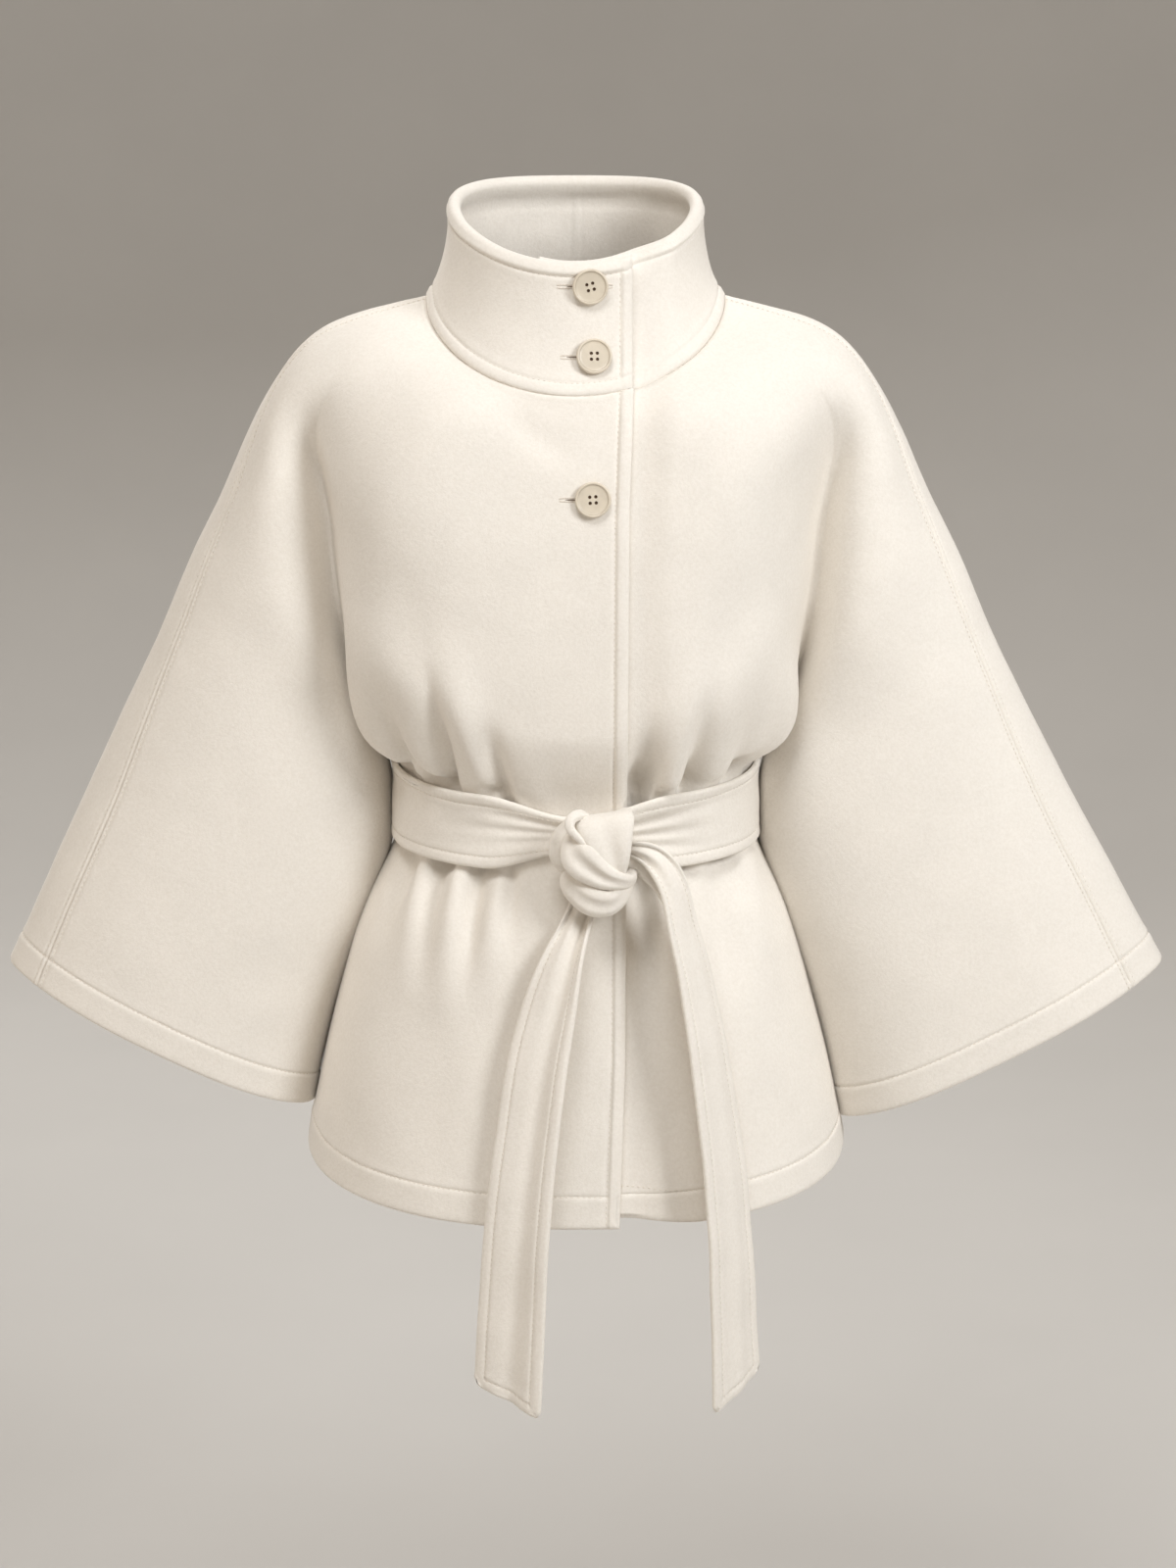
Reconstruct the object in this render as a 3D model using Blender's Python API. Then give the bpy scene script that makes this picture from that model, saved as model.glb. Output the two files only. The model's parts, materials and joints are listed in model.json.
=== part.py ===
"""Belted cape jacket in thick wool cloth, filled out as if worn, with nobody inside.

Each front is cut in one with the front half of its sleeve, and the back with both back
halves. A seam runs over each shoulder and down the top of the sleeve, one runs down the
side, and one runs along the underside of the sleeve. A folded stand collar, three flat
buttons and a tied cloth belt complete it.

Tables are in centimetres. Distances outward from the middle are positive on both sides,
"forward" is towards the front of the garment (-Y), and heights are above the point between
the sides of the neck, where the shoulders carry the garment. +X is the wearer's left.
"""
import math
from collections import namedtuple

import bmesh
import bpy
import numpy as np
from mathutils import Matrix, Vector
from mathutils.bvhtree import BVHTree

CM = 0.01                 # one centimetre in metres

CLOTH = 0.28              # thickness of the wool cloth
COLLAR_CLOTH = 0.42       # two layers of it, pressed, in the collar
BELT_CLOTH = 0.45         # two layers in the belt
SEAM_GAP = 0.035          # what is left between two pieces that are sewn together
FOLD_REACH = 2.4          # how many thicknesses the wall may measure across a sharp fold
UNDERARM_IN = (0.19, 2.2)  # where the wall's inner side meets the underarm: outward, and up

RIGHT, LEFT = -1, 1       # the wearer's right is at -X

# ------------------------------------------------------------------ the neckline
NECK_HALF_WIDTH = 10.7
NECK_FORWARD = 10.4
NECK_BACKWARD = 8.8
NECK_DROP_FRONT = 5.9
NECK_RISE_BACK = 0.4
# How far along the quarter turn from the middle to the side each line of points starts.
NECK_START = {"middle": 0.0, "chest": 0.26, "breast": 0.48, "edge": 0.67, "valley": 0.78,
              "ridge": 0.86, "face": 0.93, "seam": 1.0}
NECK_START_BACK = (0.94, 0.86, 0.79, 0.71, 0.61, 0.44, 0.23, 0.0)
# How far the cloth's thickness tilts up out of the level at the neckline.
NECK_TILT_FRONT, NECK_TILT_SIDE = math.radians(22), math.radians(36)

# ------------------------------------------------------------------ the front above the underarm
# Each row is a section that runs from the middle of the front, over the soft edge of the
# body, into the valley beside the sleeve, over the sleeve's front ridge and flat face, to
# the seam along the sleeve's top, and to the sleeve's outermost line just behind that seam.
# Columns are (outward, forward, height).
Upper = namedtuple("Upper", "name middle edge valley ridge face seam outer")
UPPER = (
    Upper("collarbone", (0, 11.3, -9.0), (12.4, 7.5, -4.7), (13.9, 5.7, -3.3),
          (14.6, 4.3, -2.4), (14.9, 2.8, -1.7), (15.0, 1.2, -1.15), (15.0, -0.8, -1.05)),
    Upper("shoulder", (0, 12.1, -13.0), (16.0, 7.2, -7.4), (17.3, 5.8, -5.8),
          (18.2, 4.8, -4.7), (18.7, 3.4, -3.7), (19.0, 1.6, -2.95), (19.1, -0.6, -2.9)),
    Upper("upper arm", (0, 12.6, -17.0), (17.4, 6.2, -11.0), (18.6, 4.8, -9.6),
          (19.9, 5.0, -8.7), (21.2, 4.2, -7.8), (22.1, 1.9, -7.3), (22.8, -0.3, -7.9)),
    Upper("chest", (0, 12.8, -21.0), (16.9, 6.1, -15.3), (18.0, 4.1, -14.4),
          (19.4, 5.2, -13.6), (21.9, 4.9, -12.8), (24.0, 2.1, -12.2), (25.3, -0.2, -13.2)),
    Upper("ribs", (0, 12.9, -25.0), (16.7, 6.0, -19.8), (17.5, 3.9, -19.2),
          (18.9, 5.2, -18.4), (22.6, 5.3, -17.6), (26.0, 2.2, -17.2), (27.7, -0.1, -18.1)),
    Upper("elbow", (0, 12.8, -28.8), (16.5, 5.8, -24.4), (16.8, 3.2, -24.2),
          (18.2, 4.9, -23.5), (23.0, 5.5, -22.6), (28.0, 2.3, -22.2), (29.8, -0.1, -22.8)),
)
# Backward reach and height of the middle of the back, one for each upper section.
BACK_MIDDLE = ((9.9, -3.6), (10.6, -8.0), (11.0, -12.4), (11.2, -16.8), (11.2, -21.2),
               (11.0, -25.8))
# The back follows the front: how much of the difference in height between the two middles
# each line of points takes, and its backward reach as a share of the forward one.
BACK_LIFT = {"edge": 0.25, "valley": 0.15, "ridge": 0.08, "face": 0.0}
BACK_REACH = {"edge": 0.95, "valley": 0.95, "ridge": 0.90, "face": 0.92}
FRONT_RAILS = ("middle", "chest", "breast", "edge", "valley", "ridge", "face", "seam")
CHEST_AT, BREAST_AT = 0.38, 0.72     # shares of the way out to the soft edge
CREASE_EASE = 1.6         # how slowly the rows fall towards the middle

# ------------------------------------------------------------------ the body from the underarm down
# Half width and height at the side seam, forward reach and height at the middle of the
# front, and backward reach and height at the middle of the back.
Girth = namedtuple("Girth", "name half side_z front front_z back back_z")
BODY = (
    Girth("underarm", 15.40, -29.6, 12.3, -31.2, 10.7, -30.0),
    Girth("blouse", 14.35, -31.9, 11.6, -32.9, 10.3, -32.1),
    Girth("belt top", 13.20, -33.4, 11.0, -34.3, 9.6, -33.4),
    Girth("waist", 13.05, -36.4, 10.6, -37.0, 9.3, -36.4),
    Girth("belt foot", 13.20, -39.3, 10.9, -39.8, 9.6, -39.3),
    Girth("gathers", 14.60, -42.2, 11.9, -42.9, 10.8, -42.4),
    Girth("hip", 17.00, -49.2, 13.4, -50.2, 12.4, -49.6),
    Girth("skirt", 19.05, -57.0, 14.7, -58.4, 13.7, -57.6),
    Girth("hem", 20.20, -63.0, 15.6, -65.0, 14.7, -64.2),
)
BODY_SQUARENESS = 2.3     # exponent of the rounded outline round the body
EDGE_AT = 0.93            # the soft edge's place, as a share of the half width
UNDERARM_EDGE = {"underarm": 15.8, "blouse": 14.4}     # the same place near the underarm

# ------------------------------------------------------------------ the sleeve from the underarm down
# The outermost line and the underarm seam, and how far the flat tube reaches to the front
# and to the back of the line between them.
Tube = namedtuple("Tube", "name outer outer_z inner inner_z front back")
SLEEVE = (
    Tube("underarm", 31.9, -27.3, 15.40, -29.6, 5.6, 5.0),
    Tube("forearm", 34.1, -31.9, 14.80, -34.0, 5.7, 5.1),
    Tube("belt level", 36.2, -36.4, 14.20, -38.6, 5.8, 5.2),
    Tube("wrist", 38.3, -40.8, 15.60, -43.6, 5.9, 5.3),
    Tube("flare", 40.4, -45.3, 18.05, -51.0, 6.0, 5.5),
    Tube("cuff", 42.4, -49.6, 20.20, -59.9, 6.1, 5.7),
)
RIDGE_ALONG, RIDGE_REACH = 0.095, 0.66     # the tube's inner front corner
FACE_ALONG, FACE_REACH = 0.46, 1.0         # the middle of its flat face
SEAM_ALONG, SEAM_REACH = 0.895, 0.46       # the seam, a little in front of the outer line

# The two sides of the worn garment are not quite alike.
# Columns: how far in the soft edge of the body lies, and how far out and down the cuff hangs.
Side = namedtuple("Side", "edge_in cuff_out cuff_down")
SIDES = {RIGHT: Side(0.0, 0.0, 0.3), LEFT: Side(0.9, 1.5, 1.4)}

# ------------------------------------------------------------------ the lap of the fronts
# The top front's edge: height, and distance out past the middle.
LAP_EDGE = ((-5.9, 4.1), (-14.0, 3.8), (-34.0, 3.7), (-53.0, 3.6), (-64.0, 3.2))
UNDERLAP_EDGE = 3.0       # how far past the middle the under front reaches
LAP_GAP = 0.09            # between the two fronts, and between the collar's ends
LAP_SLOPE = 2.6           # width of the slope that brings the under front back to the surface
LAP_LEVEL = 0.5           # what the under front stays down beyond the edge, before it
HEM_RAISE = 0.7           # how much higher the under front's hem hangs at the lap
HEM_RAISE_TO = 9.5        # where, going outward, its hem is level again

# ------------------------------------------------------------------ gathers at the belt
# Where each valley lies along the waist from the middle of its panel, how wide and how
# deep it is, and how far it runs above and below the belt.
Gather = namedtuple("Gather", "panel at width depth up down lean")
GATHERS = (
    Gather("front_right", 6.4, 1.20, 0.80, 8.0, 0.6, 0.10),
    Gather("front_right", 10.4, 0.90, 1.25, 6.5, 0.6, 0.15),
    Gather("front_right", 15.0, 0.90, 0.70, 4.0, 0.6, 0.00),
    Gather("front_right", 6.2, 0.90, 0.85, 0.6, 6.0, 0.00),
    Gather("front_right", 9.6, 0.90, 0.75, 0.6, 5.0, 0.00),
    Gather("front_right", 13.0, 1.00, 0.85, 0.6, 6.5, 0.00),
    Gather("front_left", 4.6, 0.80, 0.95, 9.0, 7.0, 0.12),
    Gather("front_left", 8.0, 1.00, 0.95, 6.0, 0.6, 0.10),
    Gather("front_left", 12.4, 1.40, 0.75, 10.0, 0.6, 0.00),
    Gather("front_left", 15.6, 0.90, 0.70, 4.0, 0.6, 0.00),
    Gather("front_left", 8.1, 1.40, 0.75, 0.6, 9.0, 0.00),
    Gather("front_left", 12.4, 1.00, 0.75, 0.6, 5.5, 0.00),
    Gather("back_right", 3.4, 1.10, 0.90, 9.0, 8.0, 0.05),
    Gather("back_right", 7.2, 0.95, 1.00, 6.5, 6.0, 0.03),
    Gather("back_right", 11.5, 1.00, 0.85, 5.0, 7.0, 0.00),
    Gather("back_right", 15.0, 0.90, 0.60, 4.0, 4.0, 0.00),
    Gather("back_left", 2.6, 1.00, 0.90, 7.5, 7.0, 0.04),
    Gather("back_left", 6.2, 1.10, 0.90, 9.5, 8.5, 0.02),
    Gather("back_left", 9.9, 0.90, 1.00, 5.5, 5.0, 0.00),
    Gather("back_left", 13.9, 1.00, 0.70, 6.0, 5.0, 0.00),
)
BELT_HALF = 2.9           # half the height of the belt round the waist
UNDER_BELT = 0.25         # what is left of a gather's depth under the belt

# ------------------------------------------------------------------ the collar
RIM_HALF_WIDTH = 9.1
RIM_FORWARD = 8.5
RIM_BACKWARD = 7.5
RIM_FRONT, RIM_SIDE, RIM_BACK = 3.1, 6.9, 8.2
COLLAR_FLARE = 2.6        # how closely the collar's foot hugs the shoulder before it rises
COLLAR_END = 4.05         # how far past the middle the top end reaches
COLLAR_UNDER_END = -3.0
COLLAR_STEPS, COLLAR_ROWS = 60, 4
COLLAR_UNDER_FROM = 0.75  # where, as a share of the way round, the under end begins

# ------------------------------------------------------------------ the belt
BELT_GAP = 0.07           # between the band and the cloth
BELT_LEFT_START = 0.6     # the band's two ends lie behind the knot, this far out and
BELT_RIGHT_START = 0.2    # this far out on the other side
BELT_SQUEEZE = 0.48       # the band's height at the knot, as a share of its full height
BELT_SQUEEZE_LENGTH = 6.5
BELT_BUNCH = 0.16         # how far the bunched band stands off the cloth at the knot
KNOT_AT = 1.5             # how far out the knot sits
BELT_STEPS_DOWN = 4

# A hanging end of the belt. Its middle line, its width there, how far its +X edge is turned
# towards the front (degrees), and how far its width leans up out of the level (degrees).
Tail = namedtuple("Tail", "across forward height width turn lean")
TAIL_RIGHT = (
    Tail(0.8, 12.4, -40.95, 1.9, 0, 0),
    Tail(0.3, 12.95, -42.4, 2.1, 8, 0),
    Tail(-0.6, 14.0, -44.6, 2.9, 18, 0),
    Tail(-1.7, 14.8, -48.3, 4.1, 25, 0),
    Tail(-2.6, 15.5, -52.3, 4.7, 26, 0),
    Tail(-3.3, 16.2, -57.0, 4.9, 26, 0),
    Tail(-4.05, 16.9, -63.3, 5.1, 26, 0),
    Tail(-4.5, 17.0, -70.0, 5.3, 26, 0),
    Tail(-4.9, 17.0, -77.6, 5.4, 26, 0),
)
TAIL_LEFT = (
    Tail(4.8, 13.0, -38.3, 1.2, -30, 62),
    Tail(5.8, 13.6, -38.9, 2.2, -40, 48),
    Tail(6.6, 14.3, -40.1, 2.6, -50, 26),
    Tail(7.4, 14.6, -42.3, 3.2, -54, 8),
    Tail(8.1, 14.7, -45.0, 3.8, -56, 0),
    Tail(9.2, 14.9, -50.5, 4.7, -58, 0),
    Tail(10.1, 15.3, -56.5, 5.2, -59, 0),
    Tail(10.9, 15.8, -63.5, 5.5, -57, 0),
    Tail(11.3, 16.1, -70.0, 5.5, -55, 0),
    Tail(11.6, 16.1, -77.2, 5.5, -52, 0),
)
TAIL_ROWS, TAIL_COLUMNS = 22, 3
TAIL_SLANT = 1.15         # half the difference in length between a tail's two corners
TAIL_SLANT_AT = 6         # how late the slant begins: the power of the way down

# The knot's three turns of cloth: points of each one's middle line, with its width across
# the line and its thickness there.
Strand = namedtuple("Strand", "across forward height width thick")
KNOT_CORE = (
    Strand(-1.05, 12.5, -37.7, 1.6, 1.4),
    Strand(-0.3, 12.6, -38.2, 3.2, 2.2),
    Strand(1.4, 12.6, -38.8, 4.6, 2.7),
    Strand(2.9, 12.6, -38.5, 3.8, 2.4),
    Strand(3.9, 12.5, -37.9, 2.2, 1.6),
)
KNOT_LOOP = (
    Strand(1.2, 12.6, -35.2, 4.4, 0.8),
    Strand(1.3, 13.6, -34.7, 4.7, 0.9),
    Strand(1.6, 14.5, -35.8, 4.6, 1.0),
    Strand(2.0, 14.9, -37.5, 3.9, 1.1),
    Strand(2.4, 14.6, -39.2, 2.9, 1.1),
    Strand(2.8, 13.6, -40.4, 2.2, 1.0),
)
KNOT_SWEEP = (
    Strand(-0.9, 13.3, -37.2, 2.0, 1.2),
    Strand(-0.2, 13.9, -38.9, 2.6, 1.5),
    Strand(0.8, 14.2, -40.4, 2.9, 1.7),
    Strand(2.2, 14.2, -41.0, 2.6, 1.6),
    Strand(3.6, 13.6, -40.0, 2.0, 1.3),
    Strand(4.1, 12.9, -38.8, 1.6, 1.0),
)
STRAND_SIDES, STRAND_RINGS = 10, 10
STRAND_END = 0.55         # a strand's end ring, as a share of its full size
STRAND_FACING = 0.8       # how much a strand's flat side is held to the front

# ------------------------------------------------------------------ the buttons
BUTTON_RADIUS = 1.25
BUTTON_THICK = 0.38
BUTTON_RIM = 0.22         # width of the raised rim
BUTTON_DISH = 0.10        # depth of the face below the rim
BUTTON_SEGMENTS = 20
HOLE_RADIUS, HOLE_SPREAD, HOLE_SEGMENTS = 0.11, 0.20, 6
SEAT_POINTS = 16
BUTTON_REST = 0.035       # between a button's back and the cloth
# Where each button sits: distance out on the wearer's left, height, and how far it is
# turned on its thread (degrees).
Button = namedtuple("Button", "name across height turn")
BUTTONS = (
    Button("button_top", 1.04, 1.45, 15),
    Button("button_middle", 1.31, -3.35, 0),
    Button("button_lower", 1.24, -12.9, 4),
)

# ------------------------------------------------------------------ colours
WOOL = (0.80, 0.75, 0.67)
HORN = (0.70, 0.62, 0.50)

# ------------------------------------------------------------------ how finely the panels are divided
# Steps between the lines of points across each panel, and rows down it.
ACROSS = {"middle": 5, "chest": 6, "breast": 4, "edge": 2, "valley": 1, "ridge": 3, "face": 3,
          "seam": 2}
LAP_STEPS, UNDERLAP_STEPS = 3, 2
HEM_ROWS = 1              # rows that the raised hem of the under front is spread over
ROWS_ABOVE = 10
ROWS_BODY = (2, 2, 2, 2, 2, 2, 2, 2)
ROWS_SLEEVE = (2, 2, 2, 2, 2)
LAP_COLUMNS = 8           # columns next to the middle that the laps are drawn from


# ================================================================== curves
def spline(knots, values, at):
    """The smooth curve through the values at the knots, read at other places."""
    knots = np.asarray(knots, float)
    values = np.asarray(values, float)
    at = np.asarray(at, float)
    count = len(knots)
    step = np.diff(knots)
    shape = (count - 1,) + (1,) * (values.ndim - 1)
    slope = np.diff(values, axis=0) / step.reshape(shape)
    system = np.eye(count)
    right = np.zeros_like(values)
    for i in range(1, count - 1):
        system[i, i - 1:i + 2] = step[i - 1], 2 * (step[i - 1] + step[i]), step[i]
        right[i] = 6 * (slope[i] - slope[i - 1])
    bend = np.linalg.solve(system, right.reshape(count, -1)).reshape(values.shape)
    i = np.clip(np.searchsorted(knots, at, side="right") - 1, 0, count - 2)
    column = (len(at),) + (1,) * (values.ndim - 1)
    a = ((knots[i + 1] - at) / step[i]).reshape(column)
    b = 1 - a
    h = step[i].reshape(column)
    return (a * values[i] + b * values[i + 1]
            + ((a ** 3 - a) * bend[i] + (b ** 3 - b) * bend[i + 1]) * h ** 2 / 6)


def chord_knots(points):
    """Distances along a row of points."""
    gaps = np.linalg.norm(np.diff(points, axis=0), axis=1)
    return np.concatenate(([0.0], np.cumsum(np.maximum(gaps, 1e-6))))


def divide(knots, steps):
    """Places along the knots, with the given number of steps from each knot to the next."""
    places = [knots[0]]
    for start, stop, number in zip(knots, knots[1:], steps):
        places.extend(start + (stop - start) * (k + 1) / number for k in range(number))
    return np.array(places)


def smooth_row(points, steps, before=(), after=()):
    """A row of points on a smooth curve through the given ones, helped by its neighbours."""
    every = np.array(list(before) + list(points) + list(after), float)
    knots = chord_knots(every)
    own = knots[len(before):len(before) + len(points)]
    return spline(knots, every, divide(own, steps))


# ================================================================== sections
def squared(share, power=BODY_SQUARENESS):
    """Reach of a rounded square outline at a share of its half width."""
    return max(0.0, 1 - share ** power) ** (1 / power)


def neck_point(turn, backward=False, side=1):
    """A point of the neckline: turn 0 is the middle, turn 1 the side of the neck."""
    angle = turn * math.pi / 2
    across = side * NECK_HALF_WIDTH * math.sin(angle)
    reach = math.cos(angle)
    if backward:
        return across, NECK_BACKWARD * reach, NECK_RISE_BACK * reach ** 2
    return across, -NECK_FORWARD * reach, -NECK_DROP_FRONT * reach ** 1.1


def between(middle, edge, share):
    """A point of the chest between the middle and the soft edge of the body."""
    low = squared(share)
    rise = share ** CREASE_EASE
    return (edge[0] * share, edge[1] + (middle[1] - edge[1]) * low,
            middle[2] + (edge[2] - middle[2]) * rise)


def upper_rails(row, back_middle, side):
    """All the named points of a section above the underarm, front middle to back middle."""
    shape = SIDES[side]
    soft = shape.edge_in if row.name not in ("collarbone", "shoulder") else 0.0
    edge = (row.edge[0] - soft, row.edge[1] + 0.3 * soft, row.edge[2])
    front = [row.middle, between(row.middle, edge, CHEST_AT),
             between(row.middle, edge, BREAST_AT), edge, row.valley, row.ridge, row.face,
             row.seam, row.outer]
    points = [(side * x, -forward, z) for x, forward, z in front]
    lift = back_middle[1] - row.middle[2]
    back = {}
    for name, place in (("face", row.face), ("ridge", row.ridge), ("valley", row.valley),
                        ("edge", edge)):
        back[name] = (place[0], BACK_REACH[name] * place[1], place[2] + BACK_LIFT[name] * lift)
    middle = (0.0,) + back_middle
    tail = [back["face"], back["ridge"], back["valley"], back["edge"],
            between(middle, back["edge"], BREAST_AT), between(middle, back["edge"], CHEST_AT),
            middle]
    return points + [(side * x, backward, z) for x, backward, z in tail]


def neck_row(side, front_steps, back_steps):
    """Points along the neckline, from the middle of the front to the middle of the back."""
    front = divide([NECK_START[name] for name in FRONT_RAILS], front_steps)
    back = divide((1.0,) + NECK_START_BACK, back_steps)[1:]
    return np.array([neck_point(turn, side=side) for turn in front]
                    + [neck_point(turn, True, side) for turn in back])


def body_rails(row, side):
    """The named points of a ring round the body, front middle to back middle."""
    edge_half = UNDERARM_EDGE.get(row.name, EDGE_AT * row.half)
    shares = (0.0, CHEST_AT * EDGE_AT, BREAST_AT * EDGE_AT, EDGE_AT)
    points = []
    for reach, height, sign in ((row.front, row.front_z, -1), (row.back, row.back_z, 1)):
        arc = []
        for share in shares:
            low = squared(share)
            across = row.half * share if share < EDGE_AT else edge_half
            arc.append((side * across, sign * reach * low,
                        row.side_z + (height - row.side_z) * low ** 1.3))
        points.append(arc)
    middle_side = [(side * row.half, 0.0, row.side_z)]
    return points[0] + middle_side + points[1][::-1]


def sleeve_rails(row, side):
    """The named points round a sleeve, from the underarm seam over the front and back to it."""
    shape = SIDES[side]
    lower = (SLEEVE[0].outer_z - row.outer_z) / (SLEEVE[0].outer_z - SLEEVE[-1].outer_z)
    inner = np.array((row.inner, 0.0, row.inner_z - shape.cuff_down * lower ** 2))
    outer = np.array((row.outer + shape.cuff_out * lower ** 1.5, 0.25, row.outer_z))

    def place(along, reach):
        point = inner + (outer - inner) * along
        return side * point[0], point[1] - reach, point[2]

    front = [(RIDGE_ALONG, RIDGE_REACH), (FACE_ALONG, FACE_REACH), (SEAM_ALONG, SEAM_REACH)]
    back = [(FACE_ALONG, FACE_REACH), (RIDGE_ALONG, RIDGE_REACH)]
    return ([place(0, 0)] + [place(a, r * row.front) for a, r in front] + [place(1, 0)]
            + [place(a, -r * row.back) for a, r in back] + [place(0, 0)])


def mirrored(point):
    return -point[0], point[1], point[2]


def steps_across(fine=1):
    """Steps between neighbouring rails: the body's front, the sleeve's front, and the backs."""
    body = [ACROSS[name] * fine for name in FRONT_RAILS[:4]]
    sleeve = [ACROSS[name] * fine for name in FRONT_RAILS[4:7]]
    back_sleeve = [ACROSS["seam"] * fine] + sleeve[::-1]
    return body, sleeve, back_sleeve, body[::-1]


def station_rows(side, fine=1):
    """Points along every section, as four lists of rows: a row for each section."""
    body, sleeve, back_sleeve, back_body = steps_across(fine)
    cuts = np.cumsum([0, sum(body), sum(sleeve), sum(back_sleeve), sum(back_body)])
    parts = {"front_body": [], "front_sleeve": [], "back_sleeve": [], "back_body": []}

    def share_out(row):
        for name, start, stop in zip(parts, cuts, cuts[1:]):
            parts[name].append(row[start:stop + 1])

    share_out(neck_row(side, body + sleeve, back_sleeve + back_body))
    for row, back_middle in zip(UPPER, BACK_MIDDLE):
        rails = upper_rails(row, back_middle, side)
        share_out(smooth_row(rails, body + sleeve + back_sleeve + back_body,
                             [mirrored(rails[1])], [mirrored(rails[-2])]))
    for row in BODY:
        rails = body_rails(row, side)
        ring = smooth_row(rails, body + back_body, [mirrored(rails[1])], [mirrored(rails[-2])])
        parts["front_body"].append(ring[:sum(body) + 1])
        parts["back_body"].append(ring[sum(body):])
    for row in SLEEVE:
        rails = sleeve_rails(row, side)
        ring = smooth_row(rails, sleeve + back_sleeve, rails[-3:-1], rails[1:3])
        parts["front_sleeve"].append(ring[:sum(sleeve) + 1])
        parts["back_sleeve"].append(ring[sum(sleeve):])
    return {name: np.array(rows) for name, rows in parts.items()}


def down_knots(part):
    """Mean distances down the sections of a part."""
    gaps = np.linalg.norm(np.diff(part, axis=0), axis=2).mean(axis=1)
    return np.concatenate(([0.0], np.cumsum(gaps)))


class Skin:
    """The outer surface of one side of the garment, in four joined parts."""

    def __init__(self, side, fine=1):
        self.side = side
        self.stations = station_rows(side, fine)
        upper = len(UPPER) + 1
        self.knots = {name: down_knots(part) for name, part in self.stations.items()}
        for one, other in (("front_body", "back_body"), ("front_sleeve", "back_sleeve")):
            mean = (self.knots[one] + self.knots[other]) / 2
            self.knots[one] = self.knots[other] = mean
        shared = (self.knots["front_body"][upper] + self.knots["front_sleeve"][upper]) / 2
        for name, knots in self.knots.items():
            split = knots[upper]
            knots = np.where(knots <= split, knots * shared / split, knots - split + shared)
            self.knots[name] = knots
        top = np.linspace(0, shared, ROWS_ABOVE * fine + 1)
        self.split_row = ROWS_ABOVE * fine
        self.rows = {}
        for name, knots in self.knots.items():
            steps = ROWS_BODY if "body" in name else ROWS_SLEEVE
            low = divide(knots[upper:], [count * fine for count in steps])
            self.rows[name] = np.concatenate((top, low[1:]))
        self.parts = {name: spline(self.knots[name], part, self.rows[name])
                      for name, part in self.stations.items()}
        self.join("front_body", -1, "front_sleeve", 0)
        self.join("back_sleeve", -1, "back_body", 0)

    def join(self, one, one_column, other, other_column):
        """Above the underarm, two neighbouring parts share their line of points."""
        rows = slice(0, self.split_row + 1)
        mean = (self.parts[one][rows, one_column] + self.parts[other][rows, other_column]) / 2
        self.parts[one][rows, one_column] = mean
        self.parts[other][rows, other_column] = mean

    def height_row(self, name, section):
        """Where a named ring of the body lies among the rows."""
        index = len(UPPER) + 1 + [row.name for row in BODY].index(section)
        return self.knots[name][index]


def patch_faces(ids, flip):
    """Four-sided faces over a table of point numbers, facing out."""
    faces = []
    rows, columns = ids.shape
    for i in range(rows - 1):
        for j in range(columns - 1):
            face = (ids[i, j], ids[i + 1, j], ids[i + 1, j + 1], ids[i, j + 1])
            faces.append(face[::-1] if flip else face)
    return faces


def face_directions(points, faces):
    """The direction out of each four-sided face."""
    corners = points[np.array(faces)]
    cross = np.cross(corners[:, 2] - corners[:, 0], corners[:, 3] - corners[:, 1])
    return cross / np.maximum(np.linalg.norm(cross, axis=1, keepdims=True), 1e-9)


def point_normals(points, faces):
    """Directions out of the surface at its points, to which each face adds the same."""
    normals = np.zeros_like(points)
    for face, way in zip(faces, face_directions(points, faces)):
        for i in face:
            normals[i] += way
    lengths = np.linalg.norm(normals, axis=1, keepdims=True)
    return normals / np.maximum(lengths, 1e-9)


def wall_reach(points, normals, faces):
    """How much farther than its thickness the wall reaches in at a fold, to stay as thick."""
    total, count = np.zeros(len(points)), np.zeros(len(points))
    for face, way in zip(faces, face_directions(points, faces)):
        for i in face:
            total[i] += np.dot(way, normals[i])
            count[i] += 1
    return np.clip(count / np.maximum(total, 1e-9), 1.0, FOLD_REACH)


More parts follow.
